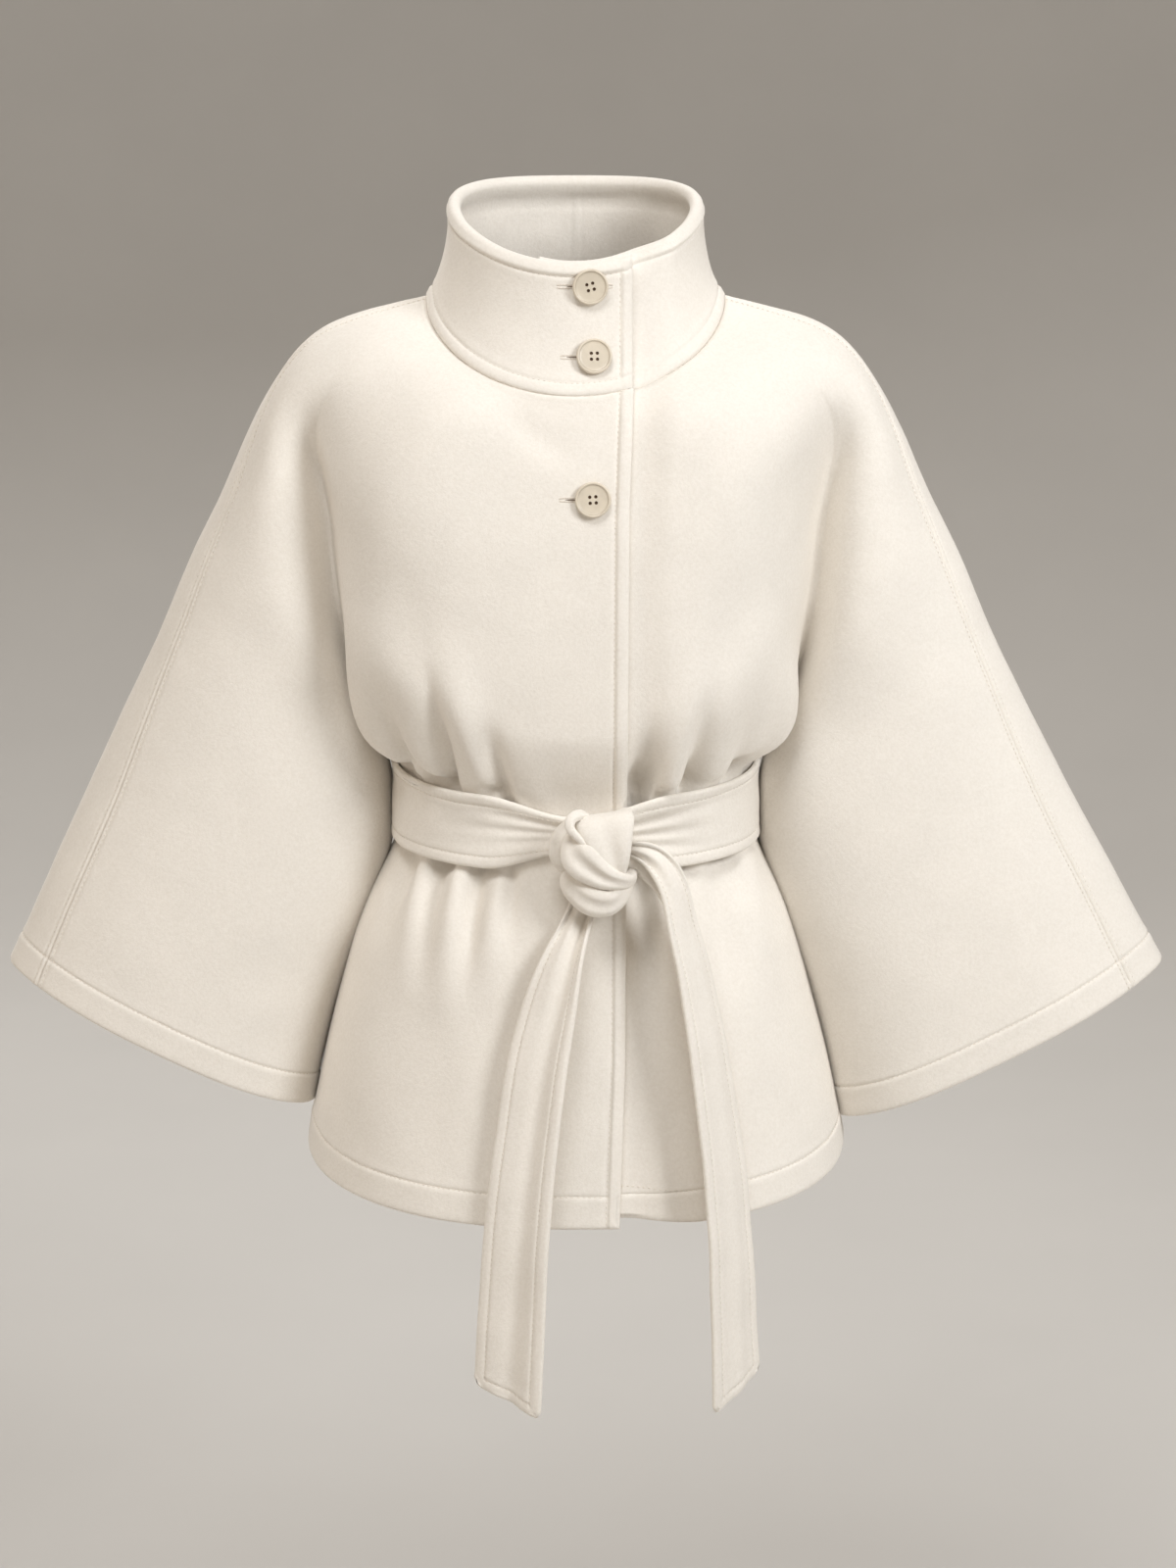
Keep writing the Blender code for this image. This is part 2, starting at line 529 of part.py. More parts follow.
# ================================================================== the whole outer surface
class Garment:
    """Both sides' outer surfaces, joined, with the gathers pressed in at the belt."""

    def __init__(self, fine=1):
        self.fine = fine
        self.skins = {side: Skin(side, fine) for side in (RIGHT, LEFT)}
        self.number_points()
        self.points = np.zeros((self.count, 3))
        faces = []
        for (side, name), ids in self.ids.items():
            self.points[ids] = self.skins[side].parts[name]
            faces.extend(patch_faces(ids, side == RIGHT))
        self.normals = point_normals(self.points, faces)
        self.flat_points, self.flat_normals = self.points, self.normals
        self.points = self.points - self.normals * self.gather_depths()[:, None]
        self.normals = point_normals(self.points, faces)
        self.reach = wall_reach(self.points, self.normals, faces)
        self.set_neck_normals()
        self.set_underarm_normals()

    def number_points(self):
        """Give every point a number, which parts that meet there share."""
        self.ids, self.count = {}, 0
        for side, skin in self.skins.items():
            below = slice(skin.split_row, None)
            above = slice(0, skin.split_row + 1)
            own = {}
            for name, part in skin.parts.items():
                size = part.shape[0] * part.shape[1]
                own[name] = np.arange(self.count, self.count + size).reshape(part.shape[:2])
                self.count += size
            own["front_sleeve"][above, 0] = own["front_body"][above, -1]
            own["back_sleeve"][:, 0] = own["front_sleeve"][:, -1]
            own["back_sleeve"][below, -1] = own["front_sleeve"][below, 0]
            own["back_body"][above, 0] = own["back_sleeve"][above, -1]
            own["back_body"][below, 0] = own["front_body"][below, -1]
            if side == LEFT:
                own["front_body"][:, 0] = self.ids[RIGHT, "front_body"][:, 0]
                own["back_body"][:, -1] = self.ids[RIGHT, "back_body"][:, -1]
            for name, ids in own.items():
                self.ids[side, name] = ids

    def waist_line(self, side, name):
        """The waist's point of each column, and its distance round from the middle."""
        skin = self.skins[side]
        waist = spline(skin.knots[name], skin.stations[name], [skin.height_row(name, "waist")])[0]
        if name == "back_body":
            return waist, chord_knots(waist[::-1])[::-1]
        return waist, chord_knots(waist)

    def gather_depths(self):
        """How far each point is pressed in by the gathers."""
        depths = np.zeros(len(self.points))
        panels = {"front_right": (RIGHT, "front_body"), "front_left": (LEFT, "front_body"),
                  "back_right": (RIGHT, "back_body"), "back_left": (LEFT, "back_body")}
        for panel, key in panels.items():
            ids = self.ids[key]
            waist, around = self.waist_line(*key)
            height = self.points[ids][:, :, 2] - waist[None, :, 2]
            depth = np.zeros(ids.shape)
            for gather in GATHERS:
                if gather.panel != panel:
                    continue
                reach = np.where(height > 0, gather.up, gather.down)
                away = np.clip((np.abs(height) - BELT_HALF) / reach, 0, 1)
                middle = gather.at + gather.lean * height
                shape = np.exp(-((around[None, :] - middle) / gather.width) ** 2)
                under_belt = np.where(np.abs(height) < BELT_HALF, UNDER_BELT, 1.0)
                depth += gather.depth * shape * (1 - away) ** 1.5 * under_belt
            depths[ids] = np.maximum(depths[ids], depth)
        return depths

    def set_neck_normals(self):
        for ids in self.ids.values():
            for number in ids[0]:
                self.normals[number] = neck_normal(self.points[number])
                self.flat_normals[number] = self.normals[number]
                self.reach[number] = 1.0

    def set_underarm_normals(self):
        """At the underarm, where four walls meet, the cloth's inner side lies well above."""
        for side, skin in self.skins.items():
            number = self.ids[side, "front_body"][skin.split_row, -1]
            way = np.array((side * UNDERARM_IN[0], 0.0, UNDERARM_IN[1]))
            length = np.linalg.norm(way)
            self.normals[number] = -way / length
            self.reach[number] = length / CLOTH

    def part(self, side, name):
        """Points and directions of one part, and the points' numbers."""
        ids = self.ids[side, name]
        return self.points[ids], self.normals[ids], ids


def neck_normal(point):
    """The direction in which the cloth's thickness runs at the neckline."""
    forward = NECK_FORWARD if point[1] < 0 else NECK_BACKWARD
    out = np.array((point[0] / NECK_HALF_WIDTH ** 2, point[1] / forward ** 2, 0.0))
    out /= np.linalg.norm(out)
    tilt = NECK_TILT_FRONT + NECK_TILT_SIDE * min(1.0, abs(point[0]) / NECK_HALF_WIDTH) ** 2
    return out * math.cos(tilt) + np.array((0, 0, math.sin(tilt)))


# ================================================================== solids of cloth
class Sheet:
    """A piece of cloth collected from patches of points, then given its thickness."""

    def __init__(self):
        self.numbers, self.points, self.normals, self.reach = {}, [], [], []
        self.faces, self.seam = [], set()

    def add(self, points, normals, keys, flip=False, seam=None, reach=None):
        """Add a patch; points with the same key in two patches are one point."""
        ids = np.zeros(points.shape[:2], int)
        for place in np.ndindex(*ids.shape):
            key = keys[place]
            if key not in self.numbers:
                self.numbers[key] = len(self.points)
                self.points.append(points[place])
                self.normals.append(normals[place])
                self.reach.append(1.0 if reach is None else reach[key])
            ids[place] = self.numbers[key]
            if seam is not None and seam[place]:
                self.seam.add(int(ids[place]))
        self.faces.extend(patch_faces(ids, flip))

    def open_seams(self, gap=SEAM_GAP / 2):
        """Draw the points on a seam back into the piece by half the seam's gap."""
        points = np.array(self.points)
        straight = {number: np.zeros(3) for number in self.seam}
        slanted = {number: np.zeros(3) for number in self.seam}
        for face in self.faces:
            for k, a in enumerate(face):
                for step, pull in ((1, straight), (2, slanted), (3, straight)):
                    b = face[(k + step) % 4]
                    if a in self.seam and b not in self.seam:
                        way = points[b] - points[a]
                        pull[a] += way / np.linalg.norm(way)
        for number in self.seam:
            way, reach = straight[number], gap
            if np.linalg.norm(way) < 1e-6:
                way, reach = slanted[number], gap * math.sqrt(2)
            self.points[number] = points[number] + way / np.linalg.norm(way) * reach

    def solid(self, thickness):
        """Points and faces of the closed wall under the surface."""
        outer = np.array(self.points)
        depth = thickness * np.array(self.reach)
        return thick_wall(outer, outer - np.array(self.normals) * depth[:, None], self.faces)


def strip_wall(points, normals, thickness, lift=0.0, flip=False):
    """The closed wall of one patch of points, its outer face lifted off the surface."""
    ids = np.arange(points.shape[0] * points.shape[1]).reshape(points.shape[:2])
    flat, ways = points.reshape(-1, 3), normals.reshape(-1, 3)
    outer = flat + ways * lift
    return thick_wall(outer, outer - ways * thickness, patch_faces(ids, flip))


def thick_wall(outer, inner, faces):
    """A closed wall between an outer and an inner surface with the same faces."""
    count = len(outer)
    walls = [tuple(face) for face in faces]
    walls += [tuple(number + count for number in face[::-1]) for face in faces]
    edges = {}
    for face in faces:
        for a, b in zip(face, tuple(face[1:]) + tuple(face[:1])):
            edges[a, b] = edges.get((a, b), 0) + 1
    for a, b in edges:
        if (b, a) not in edges:
            walls.append((b, a, a + count, b + count))
    return np.concatenate((outer, inner)), walls


def build_object(name, points, faces, material, sharp=None):
    """An object whose mesh has the points (in centimetres) and faces."""
    mesh = bpy.data.meshes.new(name)
    mesh.from_pydata([tuple(float(v) * CM for v in p) for p in points], [], faces)
    mesh.validate()
    shape = bmesh.new()
    shape.from_mesh(mesh)
    bmesh.ops.triangulate(shape, faces=shape.faces)
    shape.to_mesh(mesh)
    shape.free()
    mesh.materials.append(material)
    mesh.shade_smooth()
    mesh.set_sharp_from_angle(angle=math.radians(sharp or 60))
    thing = bpy.data.objects.new(name, mesh)
    bpy.context.scene.collection.objects.link(thing)
    return thing


# ================================================================== the panels
def seam_mask(shape, top=False, first=None, last=None):
    """Which points of a patch lie on a seam: its top row, and its first or last column."""
    mask = np.zeros(shape[:2], bool)
    mask[0, :] = top
    if first is not None:
        mask[first:, 0] = True
    if last is not None:
        mask[last:, -1] = True
    return mask


def lap_edge(height):
    """How far out the top front's edge lies at a height."""
    rows = sorted(LAP_EDGE)
    return float(np.interp(height, [row[0] for row in rows], [row[1] for row in rows]))


def under_edge(height):
    """How far past the middle the under front reaches at a height: the same all the way."""
    return UNDERLAP_EDGE


def lap_patch(garment, side, steps, edge_of):
    """Columns on one side's front, in even steps from the middle to an edge."""
    shares = [(k + 1) / (steps * garment.fine) for k in range(steps * garment.fine)]
    ids = garment.ids[side, "front_body"]
    points, normals = garment.flat_points[ids], garment.flat_normals[ids]
    near = LAP_COLUMNS * garment.fine
    lap_points, lap_normals = [], []
    for row, row_normals in zip(points, normals):
        out = np.abs(row[:near, 0])
        edge = edge_of(row[0, 2])
        at = np.array([share * edge for share in shares])
        lap_points.append(np.concatenate((row[:1], spline(out, row[:near], at))))
        blend = spline(out, row_normals[:near], at)
        blend /= np.linalg.norm(blend, axis=1, keepdims=True)
        lap_normals.append(np.concatenate((row_normals[:1], blend)))
    keys = -1 - np.arange(len(lap_points) * (len(shares) + 1)).reshape(len(lap_points), -1)
    keys[:, 0] = ids[:, 0]
    return np.array(lap_points), np.array(lap_normals), keys


def under_offset(across, edge, room):
    """How far the under layer lies below the surface, at a distance across the front."""
    slope = np.clip((across - edge - LAP_LEVEL) / LAP_SLOPE, 0, 1)
    return room * (1 - slope * slope * (3 - 2 * slope))


def raise_hem(points, fine):
    """Draw the under front's lowest rows up near the lap, most at the hem itself."""
    rows = HEM_ROWS * fine
    edge = lap_edge(points[-1, 0, 2])
    room = np.clip((HEM_RAISE_TO - points[-1, :, 0]) / (HEM_RAISE_TO - edge), 0, 1)
    room = room * room * (3 - 2 * room)
    for k in range(rows):
        row = points[len(points) - rows + k]
        above = points[len(points) - rows + k - 1] - row
        length = np.linalg.norm(above, axis=1)
        share = HEM_RAISE * ((k + 1) / rows) ** 2 * room / length
        row += above * share[:, None]


def make_front(garment, side, name, material):
    sheet = Sheet()
    split = garment.skins[side].split_row
    body, body_normals, body_ids = garment.part(side, "front_body")
    sleeve, sleeve_normals, sleeve_ids = garment.part(side, "front_sleeve")
    if side == RIGHT:
        lap, lap_normals, lap_ids = lap_patch(garment, LEFT, LAP_STEPS, lap_edge)
    else:
        lap, lap_normals, lap_ids = lap_patch(garment, RIGHT, UNDERLAP_STEPS, under_edge)
        room = CLOTH + LAP_GAP
        for points, normals in ((lap, lap_normals), (body, body_normals)):
            raise_hem(points, garment.fine)
            for row, row_normals in zip(points, normals):
                edge = lap_edge(row[0, 2])
                row -= row_normals * under_offset(row[:, 0], edge, room)[:, None]
    sheet.add(body, body_normals, body_ids, side == RIGHT,
              seam_mask(body.shape, True, last=split), garment.reach)
    sheet.add(sleeve, sleeve_normals, sleeve_ids, side == RIGHT,
              seam_mask(sleeve.shape, True, first=split, last=0), garment.reach)
    sheet.add(lap, lap_normals, lap_ids, side == LEFT, seam_mask(lap.shape, True))
    sheet.open_seams()
    return build_object(name, *sheet.solid(CLOTH), material)


def make_back(garment, name, material):
    sheet = Sheet()
    for side in (RIGHT, LEFT):
        split = garment.skins[side].split_row
        for part, mask in (("back_body", {"first": split}),
                           ("back_sleeve", {"first": 0, "last": split})):
            points, normals, ids = garment.part(side, part)
            sheet.add(points, normals, ids, side == RIGHT,
                      seam_mask(points.shape, True, **mask), garment.reach)
    sheet.open_seams()
    return build_object(name, *sheet.solid(CLOTH), material)


# ================================================================== the collar
def rim_height(reach):
    """Height of the rim where the outline's forward share is reach, 1 in front, -1 behind."""
    middle = (RIM_FRONT + RIM_BACK) / 2
    return middle + (RIM_FRONT - RIM_BACK) / 2 * reach + (RIM_SIDE - middle) * (1 - reach ** 2)


def collar_point(angle, share):
    """A point of the collar: angle 0 is the middle of the front, share 0 the neck seam."""
    out, reach = math.sin(angle), math.cos(angle)
    foot = np.array(neck_point(abs(math.asin(out)) / (math.pi / 2), reach < 0,
                               1 if out >= 0 else -1))
    rim_reach = RIM_FORWARD if reach > 0 else RIM_BACKWARD
    rim = np.array((RIM_HALF_WIDTH * out, -rim_reach * reach, rim_height(reach)))
    lean = (1 - share) ** COLLAR_FLARE
    point = rim + (foot - rim) * lean
    point[2] = foot[2] + (rim[2] - foot[2]) * share
    return point


def collar_width(share):
    """Half width of the collar at a share of its height."""
    return RIM_HALF_WIDTH + (NECK_HALF_WIDTH - RIM_HALF_WIDTH) * (1 - share) ** COLLAR_FLARE


def collar_grid(steps, rows, end=COLLAR_END, under_end=COLLAR_UNDER_END):
    """Points and directions of the collar, from its top end round to its under end."""
    points = np.zeros((rows + 1, steps + 1, 3))
    for i in range(rows + 1):
        share = i / rows
        width = collar_width(share)
        start = math.asin(end / width)
        stop = -2 * math.pi + math.asin(under_end / width)
        for j in range(steps + 1):
            points[i, j] = collar_point(start + (stop - start) * j / steps, share)
    ids = np.arange(points.shape[0] * points.shape[1]).reshape(points.shape[:2])
    flat = points.reshape(-1, 3)
    normals = point_normals(flat, patch_faces(ids, False)).reshape(points.shape)
    outward = np.sum(normals[:, steps // 4] * points[:, steps // 4], axis=1).mean()
    if outward < 0:
        normals = -normals
    for j in range(steps + 1):
        normals[0, j] = neck_normal(points[0, j])
    return points, normals


def tuck_under(points, normals, room):
    """Move the collar's under end below its top end."""
    steps = points.shape[1] - 1
    for row, row_normals in zip(points, normals):
        late = np.arange(steps + 1) > steps * COLLAR_UNDER_FROM
        offset = under_offset(row[:, 0], COLLAR_END, room)
        row -= row_normals * np.where(late & (row[:, 1] < 0), offset, 0.0)[:, None]


def make_collar(name, material):
    points, normals = collar_grid(COLLAR_STEPS, COLLAR_ROWS)
    lifted = points[0] + (points[1] - points[0]) * (SEAM_GAP / 2)
    points[0] = lifted
    tuck_under(points, normals, COLLAR_CLOTH + LAP_GAP)
    return build_object(name, *strip_wall(points, normals, COLLAR_CLOTH), material)


# ================================================================== the belt
def belt_columns(garment, side, start):
    """Points of the band on one side, front to back, from a distance out at the front."""
    skin = garment.skins[side]
    rows = {}
    for name in ("front_body", "back_body"):
        knots, stations = skin.knots[name], skin.stations[name]
        top, foot = skin.height_row(name, "belt top"), skin.height_row(name, "belt foot")
        middle = skin.height_row(name, "waist")
        columns = []
        waist, around = garment.waist_line(side, name)
        for j in range(stations.shape[1]):
            share = 1.0
            if name == "front_body":
                share = np.clip((around[j] - start) / BELT_SQUEEZE_LENGTH, 0, 1)
                share = BELT_SQUEEZE + (1 - BELT_SQUEEZE) * share * share * (3 - 2 * share)
            places = np.concatenate((np.linspace(top, middle, BELT_STEPS_DOWN // 2 + 1)[:-1],
                                     np.linspace(middle, foot, BELT_STEPS_DOWN // 2 + 1)))
            columns.append(spline(knots, stations[:, j], middle + (places - middle) * share))
        rows[name] = np.array(columns)
    front, back = rows["front_body"], rows["back_body"]
    out = np.abs(front[:, 0, 0])
    keep = int(np.searchsorted(out, start))
    first = np.array([spline(out[:8], front[:8, k], [start])[0] for k in range(front.shape[1])])
    return np.concatenate((first[None], front[keep:], back[1:]))


def make_belt_band(garment, name, material):
    right = belt_columns(garment, RIGHT, BELT_RIGHT_START)
    left = belt_columns(garment, LEFT, BELT_LEFT_START)
    ring = np.concatenate((right, left[::-1][1:]))
    points = ring.transpose(1, 0, 2)
    ids = np.arange(points.shape[0] * points.shape[1]).reshape(points.shape[:2])
    faces = patch_faces(ids, True)
    normals = point_normals(points.reshape(-1, 3), faces).reshape(points.shape)
    near = np.clip(1 - np.abs(points[:, :, 0] - KNOT_AT) / BELT_SQUEEZE_LENGTH, 0, 1)
    points = points + normals * (near * (points[:, :, 1] < 0) * BELT_BUNCH)[:, :, None]
    wall = strip_wall(points, normals, BELT_CLOTH, BELT_GAP + BELT_CLOTH, True)
    return build_object(name, *wall, material)


def tail_grid(rows, steps, columns, slant):
    """Points and directions of a ribbon that follows the rows of a tail's table."""
    table = np.array(rows, float)
    centre = np.stack((table[:, 0], -table[:, 1], table[:, 2]), axis=1)
    knots = chord_knots(centre)
    at = np.linspace(0, knots[-1], steps + 1)
    path = spline(knots, centre, at)
    width, turn, lean = (spline(knots, table[:, k], at) for k in (3, 4, 5))
    turn, lean = np.radians(turn), np.radians(lean)
    level = np.stack((np.cos(turn), -np.sin(turn), 0 * turn), axis=1)
    side = level * np.cos(lean)[:, None] + np.array((0, 0, 1.0)) * np.sin(lean)[:, None]
    along = np.gradient(path, axis=0)
    along /= np.linalg.norm(along, axis=1, keepdims=True)
    side -= along * np.sum(side * along, axis=1, keepdims=True)
    side /= np.linalg.norm(side, axis=1, keepdims=True)
    face = np.cross(along, side)
    across = np.linspace(-1, 1, columns + 1)
    points = path[:, None] + side[:, None] * (width / 2)[:, None, None] * across[None, :, None]
    reach = np.linspace(0, 1, steps + 1) ** TAIL_SLANT_AT
    points[:, :, 2] -= reach[:, None] * across[None, :] * slant
    normals = np.repeat(face[:, None], columns + 1, axis=1)
    return points, normals


def make_tail(rows, slant, name, material):
    points, normals = tail_grid(rows, TAIL_ROWS, TAIL_COLUMNS, slant)
    return build_object(name, *strip_wall(points, normals, BELT_CLOTH, BELT_CLOTH / 2),
                        material)


def strand_mesh(rows, sides=STRAND_SIDES, rings=STRAND_RINGS):
    """A closed oval tube that follows the rows of a strand's table."""
    table = np.array(rows, float)
    centre = np.stack((table[:, 0], -table[:, 1], table[:, 2]), axis=1)
    knots = chord_knots(centre)
    at = np.linspace(0, knots[-1], rings + 1)
    path = spline(knots, centre, at)
    width, thick = (spline(knots, table[:, k], at) for k in (3, 4))
    along = np.gradient(path, axis=0)
    along /= np.linalg.norm(along, axis=1, keepdims=True)
    middle = path.mean(axis=0)
    points, faces = [], []
    for i in range(rings + 1):
        out = path[i] - middle - np.array((0, STRAND_FACING, 0))
        out -= along[i] * np.dot(out, along[i])
        out = out / np.linalg.norm(out) - np.array((0, STRAND_FACING, 0))
        out -= along[i] * np.dot(out, along[i])
        out /= np.linalg.norm(out)
        side = np.cross(along[i], out)
        close = STRAND_END if i in (0, rings) else 1.0
        for k in range(sides):
            angle = 2 * math.pi * k / sides
            points.append(path[i] + close * (side * math.cos(angle) * width[i] / 2
                                             + out * math.sin(angle) * thick[i] / 2))
    for i in range(rings):
        for k in range(sides):
            a, b = i * sides + k, i * sides + (k + 1) % sides
            faces.append((a, a + sides, b + sides, b))
    faces.append(tuple(range(sides)))
    faces.append(tuple(rings * sides + k for k in range(sides))[::-1])
    return points, faces


def outward_object(name, points, faces, material):
    """An object whose faces are turned outward whatever way they were listed."""
    thing = build_object(name, points, faces, material)
    shape = bmesh.new()
    shape.from_mesh(thing.data)
    bmesh.ops.recalc_face_normals(shape, faces=shape.faces)
    shape.to_mesh(thing.data)
    shape.free()
    return thing


def make_knot(name, material):
    knot = outward_object(name, *strand_mesh(KNOT_CORE), material)
    for number, rows in enumerate((KNOT_LOOP, KNOT_SWEEP)):
        strand = outward_object(f"{name}_guide_{number}", *strand_mesh(rows), material)
        strand.hide_render = True
        strand.display_type = "WIRE"
        union = knot.modifiers.new(f"turn {number}", "BOOLEAN")
        union.operation = "UNION"
        union.object = strand
    return knot


# ================================================================== the buttons
def seat_on(thing, across, height):
    """Where a flat disc rests on a cloth object, seen from the front, and its direction."""
    tree = BVHTree.FromPolygons([vertex.co for vertex in thing.data.vertices],
                                [tuple(face.vertices) for face in thing.data.polygons])
    rim = []
    for k in range(SEAT_POINTS):
        angle = 2 * math.pi * k / SEAT_POINTS
        start = Vector((across + BUTTON_RADIUS * math.cos(angle), -40.0,
                        height + BUTTON_RADIUS * math.sin(angle))) * CM
        rim.append(np.array(tree.ray_cast(start, Vector((0, 1, 0)))[0]) / CM)
    place = np.mean(rim, axis=0)
    way = sum(np.cross(one - place, other - place) for one, other in zip(rim, rim[1:] + rim[:1]))
    way /= np.linalg.norm(way)
    middle = Vector((across, -40.0, height)) * CM
    middle = np.array(tree.ray_cast(middle, Vector((0, 1, 0)))[0]) / CM
    lift = max(np.dot(point - place, way) for point in rim + [middle])
    return place + way * lift, way


def button_profile():
    """Outline of the turned button, from the middle of its back to the middle of its face."""
    inner = BUTTON_RADIUS - BUTTON_RIM
    dish = BUTTON_THICK - BUTTON_DISH
    return ((0.0, 0.0), (BUTTON_RADIUS - 0.12, 0.0), (BUTTON_RADIUS, 0.14),
            (BUTTON_RADIUS - 0.04, BUTTON_THICK - 0.05),
            (BUTTON_RADIUS - 0.11, BUTTON_THICK), (inner, dish + 0.02),
            (inner - 0.15, dish), (0.0, dish))


def make_button(button, place, way, material):
    shape = bmesh.new()
    profile = [shape.verts.new((r * CM, 0, z * CM)) for r, z in button_profile()]
    edges = [shape.edges.new(pair) for pair in zip(profile, profile[1:])]
    bmesh.ops.spin(shape, geom=profile + edges, cent=(0, 0, 0), axis=(0, 0, 1),
                   angle=2 * math.pi, steps=BUTTON_SEGMENTS, use_merge=True)
    bmesh.ops.remove_doubles(shape, verts=shape.verts, dist=1e-6)
    bmesh.ops.recalc_face_normals(shape, faces=shape.faces)
    mesh = bpy.data.meshes.new(button.name)
    shape.to_mesh(mesh)
    shape.free()
    mesh.materials.append(material)
    mesh.shade_smooth()
    mesh.set_sharp_from_angle(angle=math.radians(40))
    disc = bpy.data.objects.new(button.name, mesh)
    bpy.context.scene.collection.objects.link(disc)

    drill = bmesh.new()
    for across in (-1, 1):
        for up in (-1, 1):
            made = bmesh.ops.create_cone(drill, cap_ends=True, segments=HOLE_SEGMENTS,
                                         radius1=HOLE_RADIUS * CM, radius2=HOLE_RADIUS * CM,
                                         depth=2 * BUTTON_THICK * CM)
            move = (across * HOLE_SPREAD * CM, up * HOLE_SPREAD * CM, BUTTON_THICK / 2 * CM)
            bmesh.ops.translate(drill, verts=made["verts"], vec=move)
    drill_mesh = bpy.data.meshes.new(f"{button.name}_holes")
    drill.to_mesh(drill_mesh)
    drill.free()
    holes = bpy.data.objects.new(f"{button.name}_holes", drill_mesh)
    bpy.context.scene.collection.objects.link(holes)
    holes.hide_render = True
    holes.display_type = "WIRE"
    holes.parent = disc
    cut = disc.modifiers.new("thread holes", "BOOLEAN")
    cut.operation = "DIFFERENCE"
    cut.object = holes

    up = np.array((0, 0, 1.0))
    up -= way * np.dot(up, way)
    up /= np.linalg.norm(up)
    right = np.cross(up, way)
    angle = math.radians(button.turn)
    first = right * math.cos(angle) + up * math.sin(angle)
    second = np.cross(way, first)
    seat = (place + way * BUTTON_REST) * CM
    disc.matrix_world = Matrix(((first[0], second[0], way[0], seat[0]),
                                (first[1], second[1], way[1], seat[1]),
                                (first[2], second[2], way[2], seat[2]),
                                (0, 0, 0, 1)))
    return disc


# ================================================================== materials and making
def make_material(name, colour, roughness):
    """A plain surface in one colour."""
    material = bpy.data.materials.new(name)
    material.use_nodes = True
    shader = material.node_tree.nodes["Principled BSDF"]
    shader.inputs["Base Color"].default_value = (*colour, 1.0)
    shader.inputs["Roughness"].default_value = roughness
    shader.inputs["Metallic"].default_value = 0.0
    material.diffuse_color = (*colour, 1.0)
    return material


def main():
    for thing in list(bpy.data.objects):
        bpy.data.objects.remove(thing)
    garment = Garment()
    pieces = ("front_right", "front_left", "back", "collar", "belt_band", "belt_knot",
              "belt_tail_right", "belt_tail_left")
    wool = {name: make_material(f"wool {name}", WOOL, 0.95) for name in pieces}
    front_right = make_front(garment, RIGHT, "front_right", wool["front_right"])
    make_front(garment, LEFT, "front_left", wool["front_left"])
    make_back(garment, "back", wool["back"])
    collar = make_collar("collar", wool["collar"])
    make_belt_band(garment, "belt_band", wool["belt_band"])
    make_knot("belt_knot", wool["belt_knot"])
    make_tail(TAIL_RIGHT, TAIL_SLANT, "belt_tail_right", wool["belt_tail_right"])
    make_tail(TAIL_LEFT, -TAIL_SLANT, "belt_tail_left", wool["belt_tail_left"])
    for button in BUTTONS:
        carrier = collar if button.height > -NECK_DROP_FRONT else front_right
        place, way = seat_on(carrier, button.across, button.height)
        make_button(button, place, way, make_material(f"horn {button.name}", HORN, 0.45))


main()
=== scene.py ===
"""Looks of a belted cape jacket in thick cream wool, filled out as if worn.

Every panel, the collar, the tied belt and the buttons are modelled again in fine detail
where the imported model's plain nodes are: turned-up hems, rolled edges, rows of stitching,
gathers and soft folds, worked buttonholes, and the folds of the knot.

Tables are in centimetres. Distances outward from the middle are positive on both sides,
"forward" is towards the front of the garment (-Y), and heights are above the point between
the sides of the neck. +X is the wearer's left.
"""
import itertools
import json
import math
from collections import namedtuple

import bmesh
import bpy
import numpy as np
from mathutils import Matrix, Vector, noise
from mathutils.bvhtree import BVHTree

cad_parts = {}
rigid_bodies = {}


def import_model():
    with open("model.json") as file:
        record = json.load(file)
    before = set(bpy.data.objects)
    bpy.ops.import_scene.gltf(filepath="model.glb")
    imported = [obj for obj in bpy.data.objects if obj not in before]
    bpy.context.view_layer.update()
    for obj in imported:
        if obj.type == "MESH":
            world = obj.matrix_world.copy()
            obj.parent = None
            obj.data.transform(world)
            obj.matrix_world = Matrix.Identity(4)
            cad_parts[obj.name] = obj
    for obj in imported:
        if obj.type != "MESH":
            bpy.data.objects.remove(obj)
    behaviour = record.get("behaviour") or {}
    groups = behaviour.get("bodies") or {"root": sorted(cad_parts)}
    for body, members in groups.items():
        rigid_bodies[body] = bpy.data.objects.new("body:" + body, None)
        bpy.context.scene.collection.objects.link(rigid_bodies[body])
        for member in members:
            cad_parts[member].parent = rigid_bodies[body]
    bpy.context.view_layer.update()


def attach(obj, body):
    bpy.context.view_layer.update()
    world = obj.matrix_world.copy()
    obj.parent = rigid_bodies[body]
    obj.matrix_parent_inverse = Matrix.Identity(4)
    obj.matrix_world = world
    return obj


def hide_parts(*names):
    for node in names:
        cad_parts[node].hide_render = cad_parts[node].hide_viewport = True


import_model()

CM = 0.01                 # one centimetre in metres
TINY = 1e-9               # keeps a division by nothing from failing
SHORTEST = 1e-6           # the least distance between two knots of a curve

CLOTH = 0.28              # thickness of the wool cloth
COLLAR_CLOTH = 0.42       # two layers of it, pressed, in the collar
BELT_CLOTH = 0.45         # two layers in the belt

RIGHT, LEFT = -1, 1       # the wearer's right is at -X

# --- the neckline
NECK_HALF_WIDTH = 10.7
NECK_FORWARD = 10.4
NECK_BACKWARD = 8.8
NECK_DROP_FRONT = 5.9
NECK_RISE_BACK = 0.4
NECK_EASE = 1.1           # how slowly its front falls towards the middle
